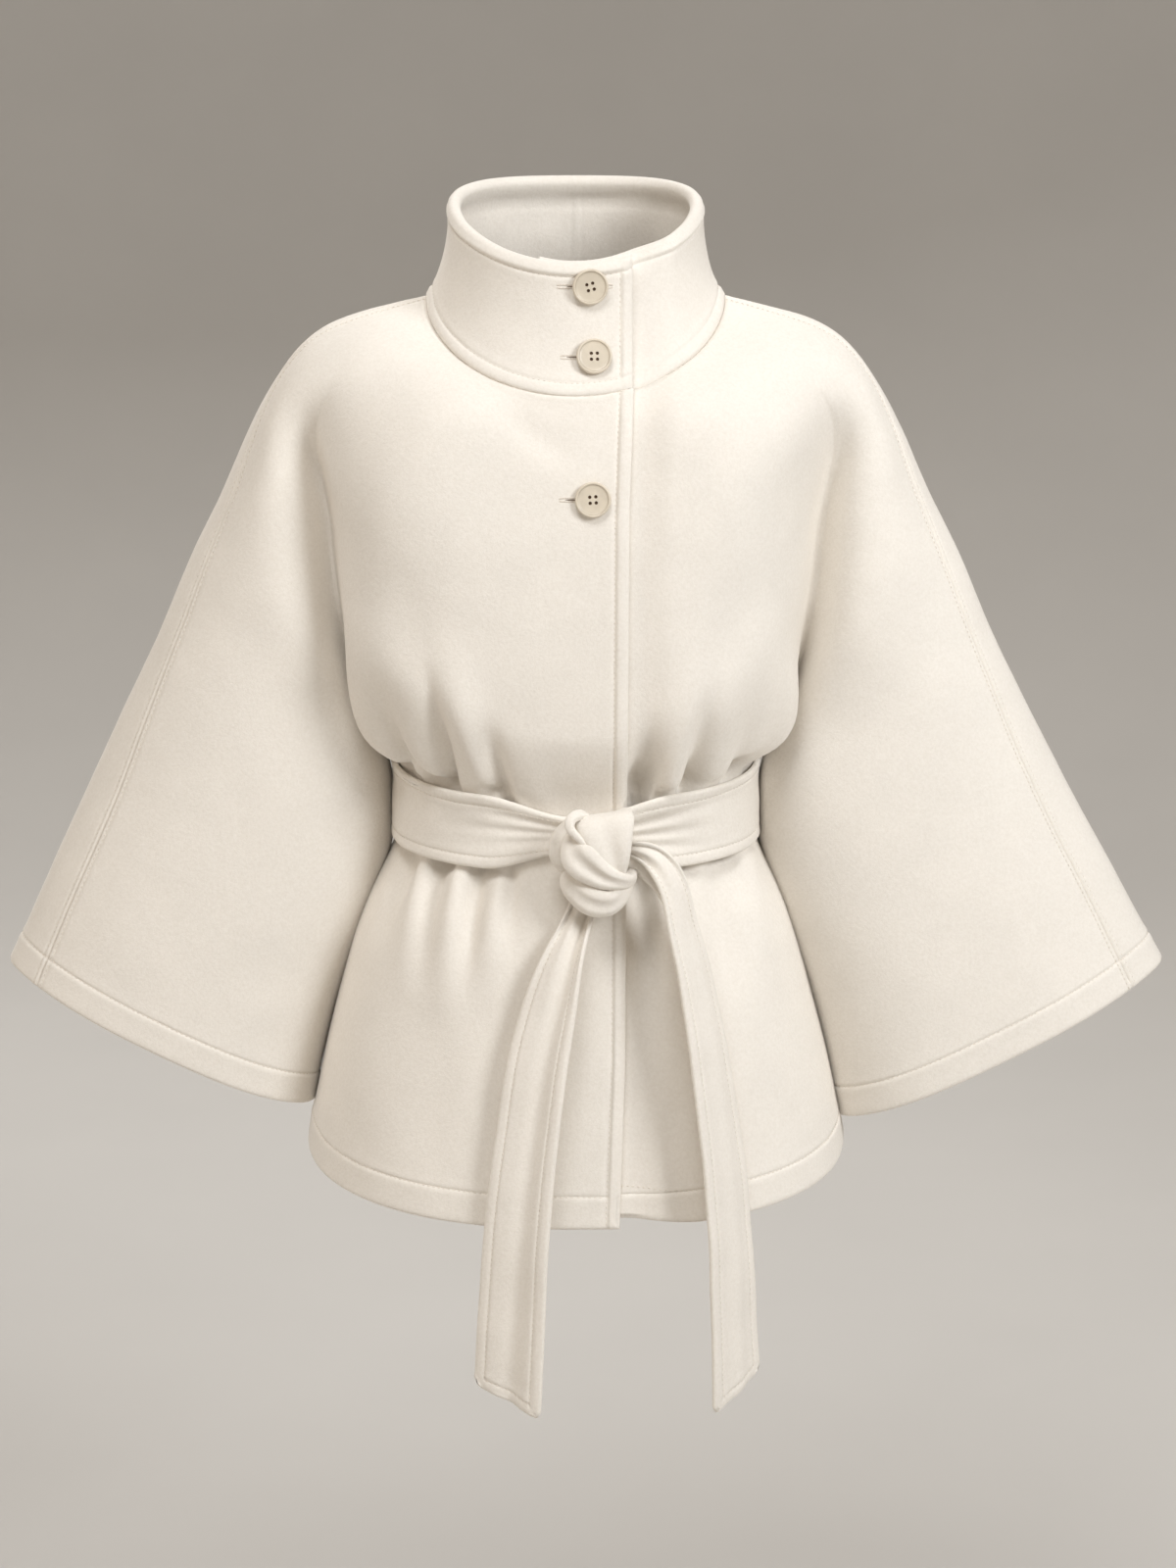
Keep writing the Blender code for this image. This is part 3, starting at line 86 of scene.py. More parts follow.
# How far along the quarter turn from the middle to the side each line of points starts.
NECK_START = {"middle": 0.0, "chest": 0.26, "breast": 0.48, "edge": 0.67, "valley": 0.78,
              "ridge": 0.86, "face": 0.93, "seam": 1.0}
NECK_START_BACK = (0.94, 0.86, 0.79, 0.71, 0.61, 0.44, 0.23, 0.0)
# How far the cloth's thickness tilts up out of the level at the neckline.
NECK_TILT_FRONT, NECK_TILT_SIDE = math.radians(22), math.radians(36)

# --- the front above the underarm
# Each row is a section that runs from the middle of the front, over the soft edge of the
# body, into the valley beside the sleeve, over the sleeve's front ridge and flat face, to
# the seam along the sleeve's top, and to the sleeve's outermost line just behind that seam.
# Columns are (outward, forward, height).
Upper = namedtuple("Upper", "name middle edge valley ridge face seam outer")
UPPER = (
    Upper("collarbone", (0, 11.3, -9.0), (12.4, 7.5, -4.7), (13.9, 5.7, -3.3),
          (14.6, 4.3, -2.4), (14.9, 2.8, -1.7), (15.0, 1.2, -1.15), (15.0, -0.8, -1.05)),
    Upper("shoulder", (0, 12.1, -13.0), (16.0, 7.2, -7.4), (17.3, 5.8, -5.8),
          (18.2, 4.8, -4.7), (18.7, 3.4, -3.7), (19.0, 1.6, -2.95), (19.1, -0.6, -2.9)),
    Upper("upper arm", (0, 12.6, -17.0), (17.4, 6.2, -11.0), (18.6, 4.8, -9.6),
          (19.9, 5.0, -8.7), (21.2, 4.2, -7.8), (22.1, 1.9, -7.3), (22.8, -0.3, -7.9)),
    Upper("chest", (0, 12.8, -21.0), (16.9, 6.1, -15.3), (18.0, 4.1, -14.4),
          (19.4, 5.2, -13.6), (21.9, 4.9, -12.8), (24.0, 2.1, -12.2), (25.3, -0.2, -13.2)),
    Upper("ribs", (0, 12.9, -25.0), (16.7, 6.0, -19.8), (17.5, 3.9, -19.2),
          (18.9, 5.2, -18.4), (22.6, 5.3, -17.6), (26.0, 2.2, -17.2), (27.7, -0.1, -18.1)),
    Upper("elbow", (0, 12.8, -28.8), (16.5, 5.8, -24.4), (16.8, 3.2, -24.2),
          (18.2, 4.9, -23.5), (23.0, 5.5, -22.6), (28.0, 2.3, -22.2), (29.8, -0.1, -22.8)),
)
# Backward reach and height of the middle of the back, one for each upper section.
BACK_MIDDLE = ((9.9, -3.6), (10.6, -8.0), (11.0, -12.4), (11.2, -16.8), (11.2, -21.2),
               (11.0, -25.8))
# The back follows the front: how much of the difference in height between the two middles
# each line of points takes, and its backward reach as a share of the forward one.
BACK_LIFT = {"edge": 0.25, "valley": 0.15, "ridge": 0.08, "face": 0.0}
BACK_REACH = {"edge": 0.95, "valley": 0.95, "ridge": 0.90, "face": 0.92}
FRONT_RAILS = ("middle", "chest", "breast", "edge", "valley", "ridge", "face", "seam")
CHEST_AT, BREAST_AT = 0.38, 0.72     # shares of the way out to the soft edge
CREASE_EASE = 1.6         # how slowly the rows fall towards the middle

# --- the body from the underarm down
# Half width and height at the side seam, forward reach and height at the middle of the
# front, and backward reach and height at the middle of the back.
Girth = namedtuple("Girth", "name half side_z front front_z back back_z")
BODY = (
    Girth("underarm", 15.40, -29.6, 12.3, -31.2, 10.7, -30.0),
    Girth("blouse", 14.35, -31.9, 11.6, -32.9, 10.3, -32.1),
    Girth("belt top", 13.20, -33.4, 11.0, -34.3, 9.6, -33.4),
    Girth("waist", 13.05, -36.4, 10.6, -37.0, 9.3, -36.4),
    Girth("belt foot", 13.20, -39.3, 10.9, -39.8, 9.6, -39.3),
    Girth("gathers", 14.60, -42.2, 11.9, -42.9, 10.8, -42.4),
    Girth("hip", 17.00, -49.2, 13.4, -50.2, 12.4, -49.6),
    Girth("skirt", 19.05, -57.0, 14.7, -58.4, 13.7, -57.6),
    Girth("hem", 20.20, -63.0, 15.6, -65.0, 14.7, -64.2),
)
BODY_SQUARENESS = 2.3     # exponent of the rounded outline round the body
RING_EASE = 1.3           # how slowly a ring's height changes towards its middle
EDGE_AT = 0.93            # the soft edge's place, as a share of the half width
UNDERARM_EDGE = {"underarm": 15.8, "blouse": 14.4}     # the same place near the underarm

# --- the sleeve from the underarm down
# The outermost line and the underarm seam, and how far the flat tube reaches to the front
# and to the back of the line between them.
Tube = namedtuple("Tube", "name outer outer_z inner inner_z front back")
SLEEVE = (
    Tube("underarm", 31.9, -27.3, 15.40, -29.6, 5.6, 5.0),
    Tube("forearm", 34.1, -31.9, 13.75, -34.0, 5.7, 5.1),
    Tube("belt level", 36.2, -36.4, 13.45, -38.6, 5.8, 5.2),
    Tube("wrist", 38.3, -40.8, 14.70, -43.6, 5.9, 5.3),
    Tube("flare", 40.4, -45.3, 17.60, -51.0, 6.0, 5.5),
    Tube("cuff", 42.4, -49.6, 19.75, -59.9, 6.1, 5.7),
)
RIDGE_ALONG, RIDGE_REACH = 0.095, 0.66     # the tube's inner front corner
FACE_ALONG, FACE_REACH = 0.46, 1.0         # the middle of its flat face
SEAM_ALONG, SEAM_REACH = 0.895, 0.46       # the seam, a little in front of the outer line

# The two sides of the worn garment are not quite alike.
# Columns: how far in the soft edge of the body lies, and how far out and down the cuff hangs.
Side = namedtuple("Side", "edge_in cuff_out cuff_down")
SIDES = {RIGHT: Side(0.0, 0.0, 0.3), LEFT: Side(0.9, 1.5, 1.4)}
STRAIGHT_EDGED = ("collarbone", "shoulder")     # sections whose soft edge isn't moved in
EDGE_FORWARD = 0.3        # how far forward a soft edge moves, as a share of how far in
CUFF_OUT_EASE, CUFF_DOWN_EASE = 1.5, 2     # how late down the sleeve the cuff's move begins
OUTER_BACK = 0.25         # how far behind the shoulder the sleeve's outer line lies

# --- the lap of the fronts
# The top front's edge: height, and distance out past the middle.
LAP_EDGE = ((-5.9, 4.1), (-14.0, 3.8), (-34.0, 3.7), (-53.0, 3.6), (-64.0, 3.2))
UNDERLAP_EDGE = 3.0       # how far past the middle the under front reaches
LAP_SLOPE = 2.6           # width of the slope that brings the under front back to the surface
LAP_LEVEL = 0.5           # what the under front stays down beyond the edge, before it
HEM_RAISE = 0.7           # how much higher the under front's hem hangs at the lap
HEM_RAISE_TO = 9.5        # where, going outward, its hem is level again

# --- gathers at the belt
# Where each valley lies along the waist from the middle of its part of the skin, how wide
# and how deep it is, how far it runs above and below the belt, and how much it leans.
Gather = namedtuple("Gather", "at width depth up down lean")
GATHERS = {
    (RIGHT, "front_body"): (
        Gather(6.4, 1.20, 0.80, 8.0, 0.6, 0.10),
        Gather(10.4, 0.90, 1.25, 6.5, 0.6, 0.15),
        Gather(15.0, 0.90, 0.70, 4.0, 0.6, 0.00),
        Gather(6.2, 0.90, 0.85, 0.6, 6.0, 0.00),
        Gather(9.6, 0.90, 0.75, 0.6, 5.0, 0.00),
        Gather(13.0, 1.00, 0.85, 0.6, 6.5, 0.00),
    ),
    (LEFT, "front_body"): (
        Gather(4.6, 0.80, 0.95, 9.0, 7.0, 0.12),
        Gather(8.0, 1.00, 0.95, 6.0, 0.6, 0.10),
        Gather(12.4, 1.40, 0.75, 10.0, 0.6, 0.00),
        Gather(15.6, 0.90, 0.70, 4.0, 0.6, 0.00),
        Gather(8.1, 1.40, 0.75, 0.6, 9.0, 0.00),
        Gather(12.4, 1.00, 0.75, 0.6, 5.5, 0.00),
    ),
    (RIGHT, "back_body"): (
        Gather(3.4, 1.10, 0.90, 9.0, 8.0, 0.05),
        Gather(7.2, 0.95, 1.00, 6.5, 6.0, 0.03),
        Gather(11.5, 1.00, 0.85, 5.0, 7.0, 0.00),
        Gather(15.0, 0.90, 0.60, 4.0, 4.0, 0.00),
    ),
    (LEFT, "back_body"): (
        Gather(2.6, 1.00, 0.90, 7.5, 7.0, 0.04),
        Gather(6.2, 1.10, 0.90, 9.5, 8.5, 0.02),
        Gather(9.9, 0.90, 1.00, 5.5, 5.0, 0.00),
        Gather(13.9, 1.00, 0.70, 6.0, 5.0, 0.00),
    ),
}
BELT_HALF = 2.9           # half the height of the belt round the waist
GATHER_EASE = 1.5         # how fast a gather fades away from the belt
UNDER_BELT = 0.25         # what is left of a gather's depth under the belt
UNDER_FROM, UNDER_OVER = 0.7, 0.8     # how far in from the belt's edge it fades, and over what

# --- the collar
RIM_HALF_WIDTH = 9.1
RIM_FORWARD = 8.5
RIM_BACKWARD = 7.5
RIM_FRONT, RIM_SIDE, RIM_BACK = 3.1, 6.9, 8.2
COLLAR_FLARE = 2.6        # how closely the collar's foot hugs the shoulder before it rises
COLLAR_END = 4.05         # how far past the middle the top end reaches
COLLAR_UNDER_END = -3.0
COLLAR_UNDER_FROM = 0.75  # where, as a share of the way round, the under end begins

# --- the belt
BELT_GAP = 0.07           # between the band and the cloth
BELT_LEFT_START = 0.6     # the band's two ends lie behind the knot, this far out and
BELT_RIGHT_START = 0.2    # this far out on the other side
BELT_SQUEEZE = 0.48       # the band's height at the knot, as a share of its full height
BELT_SQUEEZE_LENGTH = 6.5
BELT_SQUEEZE_FADE = 3     # how fast the stitches' relief fades as the band gets narrower
BELT_BUNCH = 0.16         # how far the bunched band stands off the cloth at the knot
KNOT_AT = 1.5             # how far out the knot sits

# A hanging end of the belt. Its middle line, its width there, how far its +X edge is turned
# towards the front (degrees), and how far its width leans up out of the level (degrees).
Tail = namedtuple("Tail", "across forward height width turn lean")
TAIL_RIGHT = (
    Tail(0.8, 12.4, -40.95, 1.9, 0, 0),
    Tail(0.3, 12.95, -42.4, 2.1, 8, 0),
    Tail(-0.6, 14.0, -44.6, 2.9, 18, 0),
    Tail(-1.7, 14.8, -48.3, 4.1, 25, 0),
    Tail(-2.6, 15.5, -52.3, 4.7, 26, 0),
    Tail(-3.3, 16.2, -57.0, 4.9, 26, 0),
    Tail(-4.05, 16.9, -63.3, 5.1, 26, 0),
    Tail(-4.5, 17.0, -70.0, 5.3, 26, 0),
    Tail(-4.9, 17.0, -77.6, 5.4, 26, 0),
)
TAIL_LEFT = (
    Tail(3.9, 13.0, -37.6, 1.1, -30, 66),
    Tail(5.4, 13.9, -37.9, 1.8, -38, 52),
    Tail(6.6, 14.4, -39.4, 2.4, -48, 28),
    Tail(7.4, 14.6, -42.3, 3.2, -54, 8),
    Tail(8.1, 14.7, -45.0, 3.8, -56, 0),
    Tail(9.2, 14.9, -50.5, 4.7, -58, 0),
    Tail(10.1, 15.3, -56.5, 5.2, -59, 0),
    Tail(10.9, 15.8, -63.5, 5.5, -57, 0),
    Tail(11.3, 16.1, -70.0, 5.5, -55, 0),
    Tail(11.6, 16.1, -77.2, 5.5, -52, 0),
)
TAIL_SLANT = 0.80         # half the difference in length between a tail's two corners
TAIL_SLANT_AT = 6         # how late the slant begins: the power of the way down
# How a hanging end bends: a fold along it that drifts across, and pleats at the knot.
TAIL_FOLD_AT, TAIL_FOLD_DRIFT, TAIL_FOLD_WIDTH = 0.35, 0.30, 0.30
TAIL_PLEAT, TAIL_PLEAT_TO, TAIL_PLEAT_TURN, TAIL_PLEAT_START = 0.22, 0.3, 5.5, 0.6
TAIL_WAVE, TAIL_WAVE_HEIGHT = 4.5, 0.10
# Each hanging end: its table, which way its end slants, its fold's height and its unevenness.
End = namedtuple("End", "rows slant fold start")
END_RIGHT = End(TAIL_RIGHT, TAIL_SLANT, -0.35, 31)
END_LEFT = End(TAIL_LEFT, -TAIL_SLANT, 0.2, 41)

# The knot's turns of cloth: points of each one's middle line, with its width across the
# line, its thickness there, and how deep the crease along its face is.
Strand = namedtuple("Strand", "across forward height width thick crease")
KNOT_CORE = (
    Strand(-0.9, 12.5, -37.3, 1.7, 1.2, 0.0),
    Strand(0.0, 12.8, -37.8, 3.2, 1.8, 0.0),
    Strand(1.5, 12.9, -38.2, 4.2, 2.2, 0.0),
    Strand(2.7, 12.8, -38.0, 3.6, 2.0, 0.0),
    Strand(3.6, 12.5, -37.6, 2.2, 1.4, 0.0),
)
KNOT_LOOP = (
    Strand(2.1, 12.1, -37.9, 3.8, 0.7, 0.0),
    Strand(2.1, 12.4, -36.6, 3.9, 0.7, 0.0),
    Strand(2.1, 13.2, -35.25, 4.0, 0.7, 0.0),
    Strand(2.1, 14.3, -35.25, 4.1, 0.75, 0.06),
    Strand(2.3, 14.95, -36.2, 3.6, 0.8, 0.22),
    Strand(2.6, 15.1, -37.3, 2.7, 0.85, 0.28),
    Strand(2.8, 14.85, -38.5, 1.8, 0.85, 0.12),
    Strand(2.9, 14.1, -39.6, 1.2, 0.8, 0.0),
)
KNOT_LIP = (
    Strand(0.9, 13.2, -35.1, 0.7, 0.5, 0.0),
    Strand(0.25, 14.0, -34.85, 0.8, 0.6, 0.0),
    Strand(-0.3, 14.5, -35.1, 0.75, 0.6, 0.0),
    Strand(-0.35, 14.8, -35.6, 0.65, 0.55, 0.0),
    Strand(0.0, 14.95, -36.05, 0.55, 0.5, 0.0),
    Strand(0.5, 15.0, -36.55, 0.45, 0.45, 0.0),
    Strand(1.2, 15.0, -37.2, 0.4, 0.4, 0.0),
    Strand(2.0, 14.7, -38.0, 0.35, 0.35, 0.0),
)
KNOT_SWEEP = (
    Strand(0.35, 13.4, -35.9, 0.9, 0.8, 0.0),
    Strand(0.0, 14.2, -36.75, 1.9, 0.95, 0.0),
    Strand(0.15, 14.8, -37.55, 2.6, 1.1, 0.18),
    Strand(0.95, 15.1, -38.3, 2.5, 1.2, 0.32),
    Strand(1.95, 15.1, -38.95, 1.95, 1.15, 0.30),
    Strand(3.0, 14.8, -39.35, 1.4, 1.05, 0.12),
    Strand(3.85, 14.0, -39.45, 1.05, 0.9, 0.0),
    Strand(4.0, 13.0, -39.1, 0.8, 0.7, 0.0),
)
KNOT_BULGE = (
    Strand(-0.5, 13.1, -39.1, 1.1, 0.9, 0.0),
    Strand(-0.3, 13.8, -39.8, 1.7, 1.1, 0.0),
    Strand(0.45, 14.35, -40.45, 2.1, 1.25, 0.10),
    Strand(1.45, 14.6, -40.95, 2.25, 1.3, 0.18),
    Strand(2.45, 14.5, -40.95, 2.0, 1.25, 0.14),
    Strand(3.3, 14.0, -40.25, 1.45, 1.1, 0.0),
    Strand(3.8, 13.2, -39.5, 1.0, 0.9, 0.0),
)
KNOT_LOBE = (
    Strand(0.3, 12.8, -35.6, 1.0, 0.8, 0.0),
    Strand(-0.6, 13.2, -36.2, 1.3, 0.9, 0.0),
    Strand(-1.25, 13.3, -37.2, 1.2, 1.0, 0.10),
    Strand(-1.2, 13.2, -38.2, 1.1, 0.9, 0.0),
    Strand(-0.5, 12.9, -39.1, 1.0, 0.7, 0.0),
)
KNOT_UNDER = (
    Strand(2.9, 12.8, -37.4, 1.6, 0.6, 0.0),
    Strand(4.2, 13.0, -38.1, 1.8, 0.6, 0.0),
    Strand(5.4, 13.3, -39.1, 1.7, 0.55, 0.0),
    Strand(6.3, 13.5, -40.4, 1.3, 0.5, 0.0),
    Strand(7.0, 13.6, -42.0, 0.9, 0.45, 0.0),
)
STRAND_END = 0.5          # a strand's end ring, as a share of its full size
STRAND_FACING = 0.8       # how much a strand's flat side is held to the front
STRAND_CLOSE = 0.12       # the share of a strand over which its end closes
STRAND_FLAT_SIDE, STRAND_FLAT_FACE = 0.8, 0.7      # powers that square its oval outline
STRAND_CREASE = 0.28      # half width of the crease, as a share of the strand's
STRAND_RIPPLE, STRAND_RIPPLES, STRAND_TURN, STRAND_TWIST = 0.035, 5, 1.3, 0.05
STRAND_WAVE, STRAND_WAVE_HEIGHT = 1.3, 0.05

# --- the buttons
BUTTON_RADIUS = 1.25
BUTTON_THICK = 0.38
BUTTON_RIM = 0.22         # width of the raised rim
BUTTON_DISH = 0.10        # depth of the face below the rim
BUTTON_SEGMENTS = 64
BUTTON_SHARP = math.radians(40)            # edges turned by more than this stay sharp
BUTTON_ROLL, BUTTON_ROLL_IN, BUTTON_ROLL_STEPS = 0.10, 0.11, 6     # the rim's rounded top
# The outline's other points: how far in from the button's radius and how high those of its
# back lie, and how far in from the rim and above the dish those of its face.
BUTTON_BACK = ((0.16, 0.0), (0.06, 0.03), (0.01, 0.10), (0.0, 0.17))
BUTTON_FACE = ((0.0, 0.035), (0.06, 0.01), (0.16, 0.0), (0.58, -0.01))
BUTTON_MIDDLE = -0.012    # the middle of the face, above the dish
HOLE_RADIUS, HOLE_SPREAD, HOLE_SEGMENTS = 0.12, 0.21, 16
# The thread in the holes, whose near-black brown also paints the shade in them: its radius at its
# two ends as a share of the hole's, and its length and middle as shares of the button's
# thickness.
THREAD_FOOT, THREAD_TOP, THREAD_LONG, THREAD_AT = 0.98, 0.90, 0.45, 0.24
MERGE = 1e-5              # turned points closer than this are one
SEAT_POINTS = 16
IN_FRONT = 40.0           # how far in front of the cloth a line of sight starts
BUTTON_REST = 0.035       # between a button's back and the cloth
# Where each button sits: its panel, distance out on the wearer's left, height, how far it is
# turned on its thread (degrees), and how far its buttonhole reaches to the wearer's right
# and left of its middle.
Button = namedtuple("Button", "name panel across height turn hole_right hole_left")
BUTTONS = (
    Button("top", "collar", 1.04, 1.45, 15, 2.25, 1.55),
    Button("middle", "collar", 1.31, -3.35, 0, 2.3, 0.3),
    Button("lower", "front_right", 1.24, -12.9, 4, 2.3, 0.3),
)

# --- how finely the cloth is divided
# Steps between the lines of points across each panel, and rows down it.
ACROSS = {"middle": 22, "chest": 24, "breast": 18, "edge": 9, "valley": 6, "ridge": 14,
          "face": 14, "seam": 6}
SEAM_LINES = (0.06, 0.14, 0.24, 0.36, 0.42, 0.48, 0.60, 0.85)   # extra lines beside a seam
SEAM_LINES_SHARE = 0.55   # at most this share of the space up to the next rail
NECK_LINES = (0.08, 0.2, 0.4, 0.7)
HEM_LINES = (3.0, 2.75, 2.58, 2.5, 2.45, 2.4, 2.35, 2.3, 2.22, 2.0, 1.6, 1.1, 0.7, 0.42, 0.0)
HEM_FILL = 4              # rows between the even ones and the lines near the hem
FINE_ROWS = 90            # rows that the lines near the hem are read from
EDGE_LINES = (4.0, 3.3, 2.6, 2.0, 1.5, 1.25, 1.12, 1.05, 1.0, 0.95, 0.88, 0.75, 0.55, 0.35, 0.0)
UNDERLAP_COLUMNS = 6
ROWS_ABOVE = 60
# Rows from the underarm down, and what they leave free above the hem.
ROWS_BELOW = {"front_body": (62, 4.2), "front_sleeve": (40, 6.0),
              "back_sleeve": (40, 6.0), "back_body": (62, 4.2)}
LAP_COLUMNS = 32          # columns next to the middle that the laps are drawn from
LAP_ROOM = 0.1            # from the middle to the first of a lap's lines, at least
RIM_STEPS = 5             # steps round a cut edge
JOIN_STRIP = 3            # columns on each side of the line where the front and sleeve meet
UNDERLAP_SHORT = 0.3      # what the under front's lines stop short of its middle
COLLAR_STEPS = 260
COLLAR_FINE_ROWS = 80     # rows that the collar's lines are read from
COLLAR_END_LINES = np.array((0.53, 0.66, 0.78, 0.88, 0.95, 1.0, 1.05, 1.12, 1.25, 1.6))
COLLAR_EVEN_FROM = 2.0    # from its end, where even steps begin
COLLAR_ROWS = 34
COLLAR_FOOT_LINES = (0.08, 0.2, 0.4, 0.7, 0.85, 0.95, 1.05, 1.2)
COLLAR_LINES = (2.2, 1.8, 1.5, 1.3, 1.15, 1.06, 1.0, 0.94, 0.85, 0.74, 0.62, 0.0)
BELT_ROWS, BELT_FINE_ROWS = 22, 60
BELT_START_POINTS = 8     # points that the band's end is read from
BELT_START_ROOM = 0.05    # from that end to the next column
BELT_LINES = (1.3, 1.06, 0.98, 0.92, 0.87, 0.82, 0.76, 0.5, 0.28, 0.0)
TAIL_ROWS, TAIL_COLUMNS = 150, 12
TAIL_CORNER = 0.6         # radius of a hanging end's corners
TAIL_WIDE = 5.2           # a hanging end's width from which its lines are at their full distances
STRAND_SIDES, STRAND_RINGS = 48, 60

# --- sewing
HEM_STITCH = 2.4          # from a hem or cuff to its row of stitches
HEM_THICK = 0.48          # the cloth's thickness where it is turned up
EDGE_STITCH = 1.0         # the same two for the front edge
EDGE_THICK = 0.40
TURN_UP, TURN_OVER = 2.5, 0.12             # how deep the turned hem is, and its step's width
EDGE_TURN, EDGE_TURN_OVER = 1.1, 0.15      # the same two for the front edge
SEAM_STITCH = 0.42        # from the shoulder's seam to the stitches beside it
BELT_STITCH = 0.87
COLLAR_STITCH = 1.0
SEAM_GROOVE, SEAM_GROOVE_WIDTH = 0.11, 0.10
SEAM_PUFF, SEAM_PUFF_AT, SEAM_PUFF_WIDTH = 0.035, 0.26, 0.16
STITCH_GROOVE, STITCH_GROOVE_WIDTH = 0.06, 0.085
STITCH_PUFF, STITCH_PUFF_WIDTH = 0.03, 0.30
EDGE_PUFF = 0.09          # how far the cloth swells between a row of stitches and the edge
STRIP_RISE, STRIP_FALL, STRIP_ROOT = 0.28, 0.40, 0.25      # how that rises and falls away
HEM_SWELL, EDGE_SWELL, COLLAR_SWELL = 0.5, 1.5, 1.6        # how strong it is in each place
NECK_STITCH = 0.95        # from the neck's seam to the stitches round the collar's foot
RIM_THICK, RIM_DEEP = 0.95, 1.5            # the collar's rolled rim, and how far down it goes
RIM_FULL = 0.5            # how far down that roll is at its full thickness
RIM_END = 0.35            # the share of it that is left at the collar's end
COLLAR_INSIDE_STITCH = 1.9                 # from the rim to the stitches on the inner side
COLLAR_INSIDE_FROM, COLLAR_INSIDE_OVER = 1.2, 0.4      # where the inner side's relief begins
COLLAR_ROOM = 0.30        # between the collar's two ends at the lap
UNDERLAP_ROOM = 0.12      # between the two fronts at the lap
RAISE_OVER = 3.3          # how far up from the hem the under front is drawn up
FOLD_REACH = 1.5          # how many thicknesses the wall may measure across a sharp fold
STITCH_FADE = 0.1         # over what length one row of stitches gives way to another
FAR = 99.0                # a distance that is out of reach of every seam and hem

# The cloth's soft unevenness, in waves: their size, where they start, and their height.
Wave = namedtuple("Wave", "size start height")
PANEL_WAVES = (Wave(5.5, 3, 0.05), Wave(2.2, 9, 0.025))
COLLAR_WAVES = (Wave(3.5, 5, 0.05),)
COLLAR_INSIDE_WAVES = (Wave(2.6, 27, 0.10),)
BELT_WAVES = (Wave(4.0, 15, 0.05), Wave(1.6, 21, 0.03))

# The stitches: short threads, thicker in the middle, whose ends sink into the cloth.
STITCH_LONG, STITCH_GAP, STITCH_RADIUS, STITCH_SIDES = 0.30, 0.09, 0.034, 6
STITCH_SIZES = (0.35, 0.85, 1.0, 0.85, 0.35)     # a stitch's thickness along its length
STITCH_RISES = (-1.3, 0.0, 0.5, 0.0, -1.3)       # how high it lies there, in radii
STITCH_SHARES = np.linspace(0, 1, len(STITCH_SIZES))
LIP_STEP, LIP_LONG, LIP_RADIUS = 0.065, 0.17, 0.034      # a buttonhole's stitches
SLIT_HALF = 0.035         # half the width that a buttonhole stands open
SLIT_TAPER = 0.2          # over what length it closes towards its ends
SLIT_THICK = 1.3          # its dark inside, painted shade, as a share of that half width
SLIT_SPOTS = 40           # places along it that are read off the cloth

# Soft folds pressed into the fronts (depth above zero) or raised on them (below zero): the
# two ends of each one's line (distance out, towards the wearer's left, and height), how wide
# it is and how deep. Those in the first table are held at their second end, by the belt.
Fold = namedtuple("Fold", "from_x from_z to_x to_z width depth")
FRONT_FOLDS = (
    Fold(-10.6, -23.5, -8.7, -34.6, 0.34, 1.0),
    Fold(-9.6, -20.5, -6.6, -34.9, 0.95, -1.0),
    Fold(-6.8, -27.0, -4.7, -35.6, 0.50, 0.80),
    Fold(-12.8, -22.0, -10.6, -33.9, 0.9, -0.55),
    Fold(-14.4, -25.5, -12.0, -33.8, 0.36, 0.70),
    Fold(-3.8, -28.0, -2.6, -35.8, 0.90, -0.20),
    Fold(5.6, -27.0, 4.1, -36.9, 0.42, 1.05),
    Fold(9.0, -21.0, 5.8, -36.2, 0.90, -1.0),
    Fold(9.8, -25.0, 7.7, -35.8, 0.45, 0.85),
    Fold(11.4, -22.0, 9.5, -35.0, 0.90, -0.50),
    Fold(13.4, -26.0, 11.2, -34.4, 0.50, 0.50),
    Fold(-4.9, -46.5, -4.5, -38.6, 0.50, 0.50),
    Fold(-8.2, -50.0, -7.1, -38.9, 0.50, 0.75),
    Fold(-11.6, -50.0, -9.9, -39.0, 0.50, 0.65),
    Fold(-14.4, -48.0, -12.3, -39.4, 0.50, 0.45),
    Fold(-6.2, -52.0, -5.8, -39.0, 0.80, -0.45),
    Fold(-9.8, -54.0, -8.5, -39.0, 0.85, -0.50),
    Fold(-12.9, -53.0, -11.1, -39.2, 0.80, -0.40),
    Fold(5.4, -55.0, 4.8, -38.8, 0.70, 1.10),
    Fold(8.8, -53.0, 7.5, -39.0, 0.90, -0.50),
    Fold(11.6, -51.0, 10.0, -39.2, 0.65, 0.55),
    Fold(14.2, -53.0, 12.2, -39.4, 0.85, -0.40),
)
FREE_FOLDS = (
    Fold(-6.2, -6.3, 1.0, -11.0, 1.0, 0.22),
    Fold(-4.4, -8.7, 2.5, -13.0, 1.7, -0.12),
    Fold(12.4, -16.0, 10.0, -28.0, 1.9, 0.30),
    Fold(-12.0, -17.0, -10.6, -27.0, 1.9, 0.18),
    Fold(-14.5, -41.5, -16.6, -60.0, 2.2, -0.30),
    Fold(12.0, -44.0, 14.6, -60.0, 2.4, -0.28),
    Fold(-3.2, -43.0, -4.8, -63.0, 2.4, 0.28),
    Fold(5.6, -46.0, 7.4, -63.0, 2.6, 0.26),
    Fold(-9.4, -48.0, -11.4, -63.0, 2.0, 0.18),
)
FOLD_SPREAD, FOLD_RISE, FOLD_FADE = 1.9, 0.8, 0.4
BELT_CLEAR = 0.9          # how far from the belt's edge a raised fold regains its height
VALLEY_PRESS = 1.35       # how much deeper the valley beside the sleeve is drawn
VALLEY_BODY, VALLEY_SLEEVE = 1.4, 3.0      # how far that reaches on its two sides
VALLEY_FROM, VALLEY_TOP = 9.0, 8.0         # where it begins, and over what length it deepens
